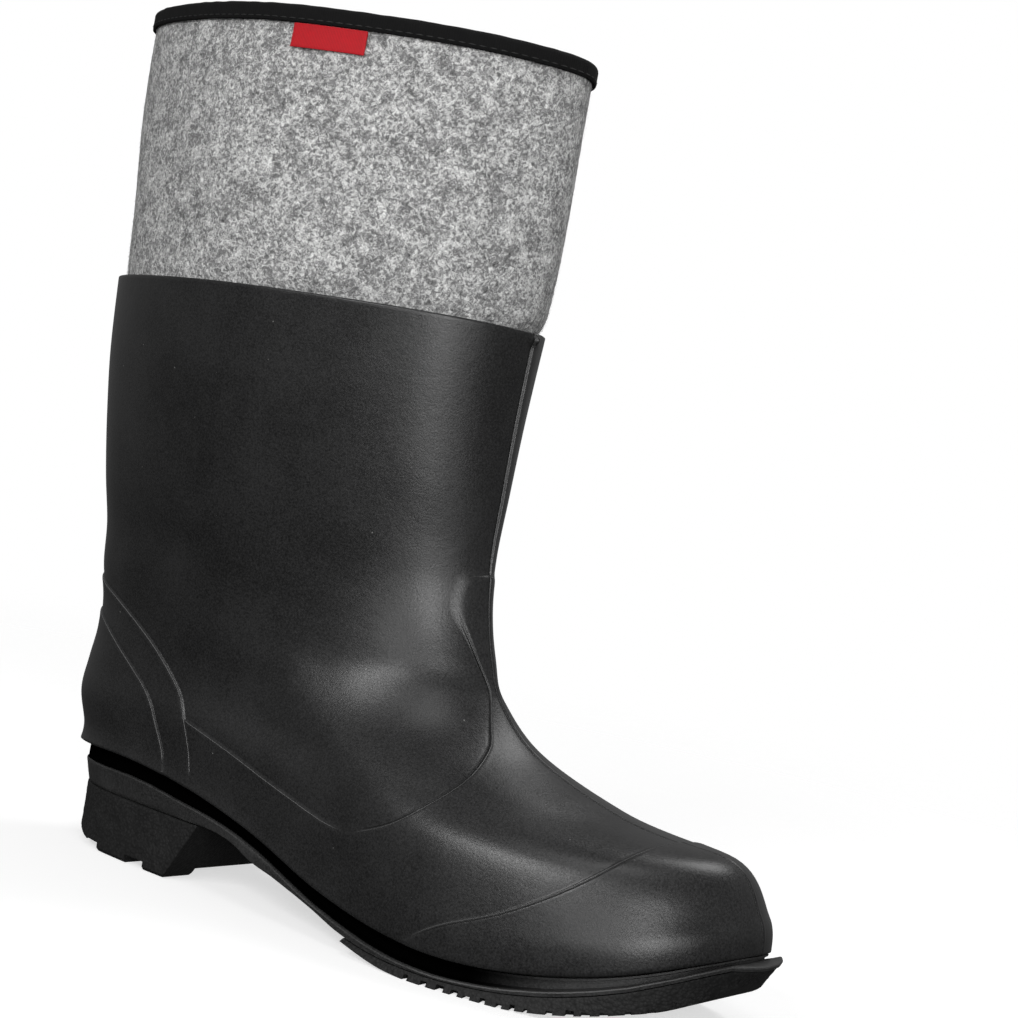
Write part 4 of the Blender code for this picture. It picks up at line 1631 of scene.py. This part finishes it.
@dataclass
class Heel:
    """The heel block: it follows the footprint, with a straight breast and blocks to stand on."""

    around: int = 240
    levels: int = 16
    samples: int = 600
    gap: float = 0.3
    top_out: float = -3.6
    low_out: float = -4.1
    top_breast: float = 91.0
    low_breast: float = 78.4
    bevel: float = 1.2
    back_rise: float = 5.0
    back_rise_x: tuple[float, float] = (14.0, 42.0)
    rough: float = 0.22
    groove_depth: float = 3.0
    grooves: tuple[Span, ...] = (
        Span(30.5, 40.5, -60.0, 60.0), Span(57.0, 67.0, -60.0, 60.0), Span(66.0, 95.0, -15.0, 60.0),
    )
    soften: float = 0.5

    def low_z(self, x: Array) -> Array:
        """Height of the block's underside: flat, and rising to its back edge."""
        return self.back_rise * (1.0 - blend(*self.back_rise_x, x))

    def ring(self, out: float, breast: float, height: Callable[[Array], Array]) -> Array:
        """A ring round the block, along the footprint and straight across its breast.

        Args:
            out: how far it stands out from the feather line.
            breast: x of its breast.
            height: gives the height at x.

        Returns:
            The ring's points.
        """
        rear = np.linspace(0.0, np.pi / 2, self.samples)
        end = np.interp(breast, LAST.footprint(rear, out)[0], rear)
        return LAST.level_ring(np.linspace(-end, end, self.around), out, height)

    def build(self) -> bpy.types.Object:
        """Builds and dresses the heel.

        Returns:
            The piece.
        """
        top = self.ring(self.top_out, self.top_breast, lambda x: LAST.sole_low_z(x) - self.gap)
        low = self.ring(self.low_out, self.low_breast, lambda x: self.low_z(x) + self.bevel)
        rings = [top]
        for part in np.linspace(0.0, 1.0, self.levels)[1:]:
            ring = top + (low - top) * part
            rings.append(ring + pebbles(ring, self.rough))
        rings.append(self.ring(self.low_out - self.bevel, self.low_breast - self.bevel, self.low_z))
        piece = capped("heel_block", rings, pointed=False)
        boxes = []
        for span in self.grooves:
            centre = ((span.low_x + span.high_x) / 2, (span.low_y + span.high_y) / 2, 0.0)
            half = ((span.high_x - span.low_x) / 2, (span.high_y - span.low_y) / 2, self.groove_depth)
            boxes.append(box_corners(centre, (1.0, 0.0), half))
        carve(piece, boxes, self.soften)
        return present(piece, Slot.TREAD, TREAD_RUBBER, "heel")


@dataclass
class FeltLeg:
    """The felt leg that stands in the collar, its fibres and the lining below it."""

    around: int = 400
    wall: float = 4.5
    rubber_wall: float = 2.5
    gap: float = 0.3
    tuck_rows: tuple[float, float] = (9.0, 10.7)
    tuck_rings: int = 6
    free_rows: int = 74
    inside_rows: int = 30
    lump: float = 0.20
    swell: float = 0.45
    lining_wall: float = 1.8
    lining_low_row: float = 0.5
    lining_top_gap: float = 0.06
    lining_thin_row: float = 6.5
    lining_rings: int = 46
    fibres: int = 9000
    fibre_length: tuple[float, float] = (0.9, 2.4)
    fibre_width: float = 0.055
    fibre_lift: tuple[float, float] = (0.1, 0.55)
    fibre_rows: tuple[float, float] = (0.02, RIM - 0.22)
    seed: int = 20

    def build(self) -> None:
        """Builds and dresses the felt, its lining and its loose fibres."""
        turn = turns(self.around)
        tucked = np.linspace(*self.tuck_rows, self.tuck_rings)
        free = np.linspace(0.0, RIM, self.free_rows)
        inside = self.rubber_wall + self.gap
        outer = [LAST.skin(RUBBER_SECTIONS, row, turn, -inside) for row in tucked]
        outer += [self.pressed(LAST.skin(FELT_SECTIONS, row, turn), row) for row in free]
        down = np.linspace(RIM, 0.0, self.inside_rows)
        inner = [LAST.skin(FELT_SECTIONS, row, turn, -self.wall) for row in down]
        inner += [LAST.skin(RUBBER_SECTIONS, row, turn, -inside - self.wall) for row in tucked[::-1]]
        inner = [ring + self.wobble(ring) for ring in inner]
        present(sleeve("felt_leg", outer + inner), Slot.FELT, WOOL_FELT, "felt_shaft")
        self.build_lining(turn)
        self.build_fibres()

    def wobble(self, ring: Array) -> Array:
        """Small uneven moves of felt that no tool has smoothed."""
        return np.stack([lumps(ring, 4.0, 1.0 + k) for k in range(3)], -1) * self.lump

    def pressed(self, ring: Array, row: float) -> Array:
        """A ring of the felt's face, lumpy and a little slack between collar and rim.

        Args:
            ring: the ring's points.
            row: its row.

        Returns:
            The moved points.
        """
        centre = ring.mean(axis=0)
        away = ring - centre
        away[:, 2] = 0.0
        away /= np.linalg.norm(away, axis=1, keepdims=True)
        slack = self.swell * blend(0.0, 0.6, row) * (1.0 - blend(RIM - 0.5, RIM, row))
        move = self.lump * lumps(ring, 2.6, 7.0) + slack * lumps(ring, 38.0, 4.0)
        return ring + away * move[:, None]

    def build_lining(self, turn: Array) -> None:
        """The lining inside the rubber, from the felt leg down to the insole.

        Args:
            turn: turns round the form.
        """
        top_row = self.tuck_rows[0]
        rows = np.linspace(top_row - self.lining_top_gap, self.lining_low_row, self.lining_rings)
        outside = self.rubber_wall + self.gap
        outer = [LAST.skin(RUBBER_SECTIONS, row, turn, -outside) for row in rows]
        inner = []
        for row in rows[::-1]:
            thick = blend(self.lining_thin_row, top_row, row)
            wall = self.lining_wall + (self.wall - self.lining_wall) * thick
            ring = LAST.skin(RUBBER_SECTIONS, row, turn, -outside - wall)
            inner.append(ring + self.wobble(ring))
        present(sleeve("felt_lining", outer + inner), Slot.FELT, LINING_FELT)

    def build_fibres(self) -> None:
        """Loose fibres that stand off the felt's face."""
        draw = np.random.default_rng(self.seed)
        row = draw.uniform(*self.fibre_rows, self.fibres)
        turn = draw.uniform(0.0, 2.0 * np.pi, self.fibres)
        root = LAST.skin(FELT_SECTIONS, row, turn)
        normal = LAST.normals(FELT_SECTIONS, row, turn)
        stray = draw.normal(size=(self.fibres, 3))
        stray -= normal * np.einsum("ij,ij->i", stray, normal)[:, None]
        stray /= np.linalg.norm(stray, axis=1, keepdims=True)
        side = np.cross(normal, stray) * self.fibre_width / 2
        over = normal * self.fibre_width / 2
        length = draw.uniform(*self.fibre_length, self.fibres)[:, None]
        lift = draw.uniform(*self.fibre_lift, self.fibres)[:, None]
        middle = root + length * (0.55 * stray + 0.5 * lift * normal)
        tip = root + length * (stray + 0.6 * lift * normal)
        corners = [end + move for end in (root, middle) for move in (-side, side, over)]
        places = np.stack([*corners, tip], 1)
        faces = []
        for start in range(0, 7 * self.fibres, 7):
            faces.append((start, start + 1, start + 2))
            for here, after in ((0, 1), (1, 2), (2, 0)):
                faces.append((start + here, start + after, start + 3 + after, start + 3 + here))
                faces.append((start + 3 + here, start + 3 + after, start + 6))
        piece = make_piece("felt_fibres", places.reshape(-1, 3), faces)
        present(piece, Slot.FELT, FELT_FIBRE)


@dataclass
class Binding:
    """The woven tape folded over the felt's rim, with its line of stitches."""

    around: int = 400
    felt_wall: float = 4.5
    wall: float = 1.2
    drop: float = 7.0
    gap: float = 0.3
    pucker: float = 0.16
    stitch_length: float = 2.7
    stitch_pitch: float = 3.6
    stitch_thick: float = 0.45
    stitch_up: float = 1.5
    stitch_rings: int = 5
    stitch_sides: int = 6

    def row_at(self, drop: float) -> float:
        """The felt's row at a distance below its rim."""
        return RIM - drop / (FELT_SECTIONS[-1].back_z - FELT_SECTIONS[-2].back_z)

    def profile(self) -> list[tuple[float, float]]:
        """The tape's section, from its outer edge over the rim.

        Returns:
            An offset and a height for each ring.
        """
        outside = self.gap + self.wall
        inside = self.felt_wall + self.gap
        innermost = inside + self.wall
        middle = (outside - innermost) / 2
        half = (outside + innermost) / 2
        fold = np.linspace(0.0, np.pi, 11)
        over = [(middle + half * math.cos(a), 1.9 * math.sin(a) ** 0.8) for a in fold]
        down = [(outside, -self.drop + d) for d in (0.0, 0.25, 1.5, 3.5, 5.5)]
        down[0] = (outside - 0.35, -self.drop)
        up_inside = [(-innermost, -d) for d in (2.5, 5.0, self.drop - 0.3)]
        back = [(-inside, -self.drop), (-inside, 0.0), (-inside / 2, 0.2), (self.gap, 0.0)]
        return down + over + up_inside + back + [(self.gap, -self.drop)]

    def ring(self, turn: Array, out: float, rise: float) -> Array:
        """A ring of the tape.

        Args:
            turn: turns round the rim.
            out: offset from the felt's face.
            rise: height over the felt's rim.

        Returns:
            The ring's points.
        """
        ring = LAST.skin(FELT_SECTIONS, self.row_at(max(-rise, 0.0)), turn, out)
        return ring + (0.0, 0.0, max(rise, 0.0))

    def build(self) -> None:
        """Builds and dresses the tape and its stitches."""
        turn = turns(self.around)
        rings = []
        for out, rise in self.profile():
            ring = self.ring(turn, out, rise)
            visible = 1.0 if out > self.gap or rise > 0.3 or out < -self.felt_wall - self.gap else 0.0
            away = np.stack([lumps(ring, 5.0, 11.0 + k) for k in range(3)], -1)
            rings.append(ring + away * self.pucker * visible)
        piece = sleeve("rim_binding", rings)
        edge = self.ring(turn, self.gap, -self.drop / 2)
        steps = np.linalg.norm(np.roll(edge, -1, axis=0) - edge, axis=1)
        along = np.concatenate([[0.0], np.cumsum(steps)[:-1]])
        section = np.array(self.profile())
        across = np.concatenate([[0.0], np.cumsum(np.hypot(*np.diff(section, axis=0).T))])
        lay_weave(
            piece, np.tile(along, len(rings)), np.repeat(across, self.around), float(steps.sum())
        )
        present(piece, Slot.TAPE, BINDING_TAPE, "binding")
        self.build_stitches(float(steps.sum()), along)

    def build_stitches(self, length: float, along: Array) -> None:
        """Stitches through the tape's lower edge, outside and inside.

        Args:
            length: length of the rim.
            along: length along the rim at each of its turns.
        """
        turn = turns(self.around)
        count = int(length / self.stitch_pitch)
        rings, sides = self.stitch_rings, self.stitch_sides
        taper = np.sqrt(np.clip(1 - np.linspace(-1, 1, rings) ** 2, 0.04, 1))
        up = np.array([0.0, 0.0, 1.0])
        places, faces = [], []
        for out in (self.gap + self.wall, -self.felt_wall - self.gap - self.wall):
            for start in np.arange(count) * length / count:
                reach = np.linspace(0.0, self.stitch_length, rings)
                at = np.interp(start + reach, along, turn)
                line = self.ring(at, out, self.stitch_up - self.drop)
                normal = LAST.normals(FELT_SECTIONS, np.full(rings, self.row_at(self.drop)), at)
                normal = normal * np.sign(out)
                thick = self.stitch_thick / 2 * taper
                first = len(places)
                for point, away, radius in zip(line, normal, thick):
                    for k in range(sides):
                        angle = 2.0 * np.pi * k / sides
                        places.append(point + radius * (math.cos(angle) * away + math.sin(angle) * up))
                faces += [tuple(first + i for i in quad) for quad in ring_quads(sides, rings, False)]
                for end in (first, first + (rings - 1) * sides):
                    faces.append(tuple(end + k for k in range(sides)))
        piece = make_piece("binding_stitches", np.array(places), faces)
        present(piece, Slot.TAPE, BLACK_THREAD)


@dataclass
class Tab:
    """The small blank ribbon tab under the binding."""

    start_x: float = 83.0
    length: float = 27.0
    height: float = 8.5
    thickness: float = 0.8
    gap: float = 0.3
    drop: float = 7.0
    columns: int = 55
    rows: int = 18
    curl: float = 0.35

    def build(self) -> bpy.types.Object:
        """Builds and dresses the tab.

        Returns:
            The piece.
        """
        section = FELT_SECTIONS[-1]
        ends = np.array([self.start_x, self.start_x + self.length])
        share = (ends - section.back_x) / (section.front_x - section.back_x)
        first, last = np.arccos(1.0 - 2.0 * share)
        turn = np.linspace(first, last, self.columns)
        binding = Binding()
        sheets = []
        for face in (1.0, 0.0):
            for part in np.linspace(0.0, 1.0, self.rows):
                edge = np.minimum(np.linspace(0, 1, self.columns), np.linspace(1, 0, self.columns))
                edge = np.minimum(edge * self.length, (1.0 - part) * self.height)
                roll = blend(0.0, 0.5, edge) * 0.25 + 0.75
                out = self.gap + self.curl * part**2 + face * self.thickness * roll
                row = binding.row_at(self.drop + self.gap + part * self.height)
                sheets.append(LAST.skin(FELT_SECTIONS, row, turn, out))
        grid = np.array(sheets).reshape(2, self.rows, self.columns, 3)
        points = grid.reshape(-1, 3)
        piece = make_piece("ribbon_tab", points, self.faces())
        piece.data.set_sharp_from_angle(angle=math.radians(SHARP_ANGLE))
        along = np.tile(np.linspace(0.0, self.length, self.columns), 2 * self.rows)
        across = np.tile(np.repeat(np.linspace(0.0, self.height, self.rows), self.columns), 2)
        lay_weave(piece, along, across, 0.0)
        return present(piece, Slot.RIBBON, TAB_RIBBON, "label_tab")

    def faces(self) -> list[tuple[int, ...]]:
        """Faces of the tab's two sides and of its edge.

        Returns:
            The corners of each face.
        """
        rows, columns = self.rows, self.columns
        size = rows * columns
        faces = []
        for side in (0, size):
            for r in range(rows - 1):
                for c in range(columns - 1):
                    k = side + r * columns + c
                    faces.append((k, k + 1, k + columns + 1, k + columns))
        rim = list(range(columns)) + [r * columns + columns - 1 for r in range(1, rows)]
        rim += [size - 1 - c for c in range(1, columns)]
        rim += [r * columns for r in range(rows - 2, 0, -1)]
        for here, after in zip(rim, rim[1:] + rim[:1]):
            faces.append((here, after, after + size, here + size))
        return faces


@dataclass(frozen=True)
class Softbox:
    """A soft light, placed by its direction from the boot."""

    name: str
    azimuth: float
    elevation: float
    width: float
    height: float
    radiance: float
    tilt: float = 0.0
    distance: float = 1.7

    def build(self, aim: Vector) -> None:
        """Hangs the light.

        Args:
            aim: the place that it points at.
        """
        around, up = math.radians(self.azimuth), math.radians(self.elevation)
        away = Vector(
            (math.sin(around) * math.cos(up), -math.cos(around) * math.cos(up), math.sin(up))
        )
        light = bpy.data.lights.new(self.name, "AREA")
        light.shape = "RECTANGLE"
        light.size = self.width
        light.size_y = self.height
        light.energy = self.radiance * math.pi * self.width * self.height
        lamp = linked(self.name, light)
        lamp.location = aim + away * self.distance
        tilted = Quaternion((0.0, 0.0, 1.0), math.radians(self.tilt))
        lamp.rotation_euler = (away.to_track_quat("Z", "Y") @ tilted).to_euler()
        lamp.visible_camera = False


@dataclass
class Studio:
    """The pale floor, the soft lights and the camera."""

    frame_px: float = 1018.0
    focal_px: float = 2251.4
    sensor: float = 36.0
    pivot_x: float = 96.8 - STAND_X
    azimuth: float = 36.2
    distance: float = 818.9
    eye_z: float = 171.7
    aim: tuple[float, float, float] = (172.0 - STAND_X, 0.0, 153.7)
    roll: float = 11.1
    floor_half: float = 4.0
    floor_fade: tuple[float, float] = (0.35, 1.0)
    floor_colour: Colour = (0.55, 0.55, 0.55)
    floor_glow: float = 0.62
    backdrop: float = 1.0
    fill: float = 0.24
    fill_below: float = 0.05
    fill_rise: tuple[float, float] = (-0.30, 0.10)
    lights: tuple[Softbox, ...] = (
        Softbox("key", 42.0, 8.0, 0.36, 0.70, 13.0),
        Softbox("front", 20.0, 7.0, 0.50, 0.30, 5.0),
        Softbox("edge", 58.0, 6.0, 0.45, 0.40, 4.0),
        Softbox("side", 2.0, 29.0, 0.80, 0.36, 14.0, -18.0),
        Softbox("above", 24.0, 60.0, 0.50, 0.50, 4.5),
        Softbox("top", 160.0, 60.0, 0.80, 0.80, 5.0),
    )

    def build(self) -> None:
        """Builds the camera, the floor, the backdrop and the lights."""
        self.build_camera()
        self.build_floor()
        self.build_world()
        for light in self.lights:
            light.build(Vector(self.aim) * MM)
        bpy.context.scene.view_settings.view_transform = "Standard"

    def build_camera(self) -> None:
        """The camera at the photograph's angle, rolled as it is there."""
        around = math.radians(self.azimuth)
        eye = Vector(
            (self.pivot_x + self.distance * math.sin(around), -self.distance * math.cos(around), self.eye_z)
        )
        ahead = (Vector(self.aim) - eye).normalized()
        level = ahead.cross(Vector((0.0, 0.0, 1.0))).normalized()
        up = level.cross(ahead)
        c, s = math.cos(math.radians(self.roll)), math.sin(math.radians(self.roll))
        right, top = c * level + s * up, c * up - s * level
        data = bpy.data.cameras.new("camera")
        data.sensor_width = self.sensor
        data.lens = self.sensor * self.focal_px / self.frame_px
        data.clip_start = 0.01
        camera = linked("camera", data)
        turned = Matrix((right, top, -ahead)).transposed().to_4x4()
        camera.matrix_world = Matrix.Translation(eye * MM) @ turned
        bpy.context.scene.camera = camera

    def build_floor(self) -> None:
        """A pale floor that fades into the backdrop."""
        half = self.floor_half
        mesh = bpy.data.meshes.new("floor")
        corners = [(-half, -half, 0.0), (half, -half, 0.0), (half, half, 0.0), (-half, half, 0.0)]
        mesh.from_pydata(corners, [], [(0, 1, 2, 3)])
        floor = linked("floor", mesh)
        sheet = NodeSheet("pale_floor")
        sheet.feed(
            Base_Color=self.floor_colour,
            Roughness=0.9,
            Specular_IOR_Level=0.1,
            Emission_Color=(1.0, 1.0, 1.0),
            Emission_Strength=self.floor_glow,
        )
        place = sheet.node("ShaderNodeTexCoord", output="Object")
        away = sheet.node("ShaderNodeVectorMath", {"operation": "LENGTH"}, {0: place}, "Value")
        sheet.feed(Alpha=1.0 - away.step(*self.floor_fade))
        mesh.materials.append(sheet.material)
        floor.visible_glossy = False
        floor.visible_diffuse = False

    def build_world(self) -> None:
        """A white backdrop that lights the boot less than it shows."""
        world = bpy.data.worlds.new("backdrop")
        world.use_nodes = True
        tree = world.node_tree
        shown = tree.nodes["Background"]
        shown.inputs["Color"].default_value = (self.backdrop, self.backdrop, self.backdrop, 1.0)
        soft = tree.nodes.new("ShaderNodeBackground")
        soft.inputs["Color"].default_value = (1.0, 1.0, 1.0, 1.0)
        way = tree.nodes.new("ShaderNodeTexCoord")
        axes = tree.nodes.new("ShaderNodeSeparateXYZ")
        level = tree.nodes.new("ShaderNodeMapRange")
        ends = dict(zip(("From Min", "From Max"), self.fill_rise))
        ends.update({"To Min": self.fill_below, "To Max": self.fill})
        for name, value in ends.items():
            level.inputs[name].default_value = value
        tree.links.new(way.outputs["Generated"], axes.inputs[0])
        tree.links.new(axes.outputs["Z"], level.inputs["Value"])
        tree.links.new(level.outputs[0], soft.inputs["Strength"])
        rays = tree.nodes.new("ShaderNodeLightPath")
        mix = tree.nodes.new("ShaderNodeMixShader")
        tree.links.new(rays.outputs["Is Camera Ray"], mix.inputs[0])
        tree.links.new(soft.outputs[0], mix.inputs[1])
        tree.links.new(shown.outputs[0], mix.inputs[2])
        tree.links.new(mix.outputs[0], tree.nodes["World Output"].inputs["Surface"])
        bpy.context.scene.world = world


def main() -> None:
    """Builds the boot's pieces in order, then the studio around them."""
    logging.basicConfig(level=logging.INFO, format="%(message)s")
    for assembly in (RubberUpper(), Sole(), Tread(), Heel(), FeltLeg(), Binding(), Tab()):
        assembly.build()
    present(frame["nodes"]["insole"], Slot.INSOLE, LINING_FELT)
    Studio().build()


if __name__ == "__main__":
    main()
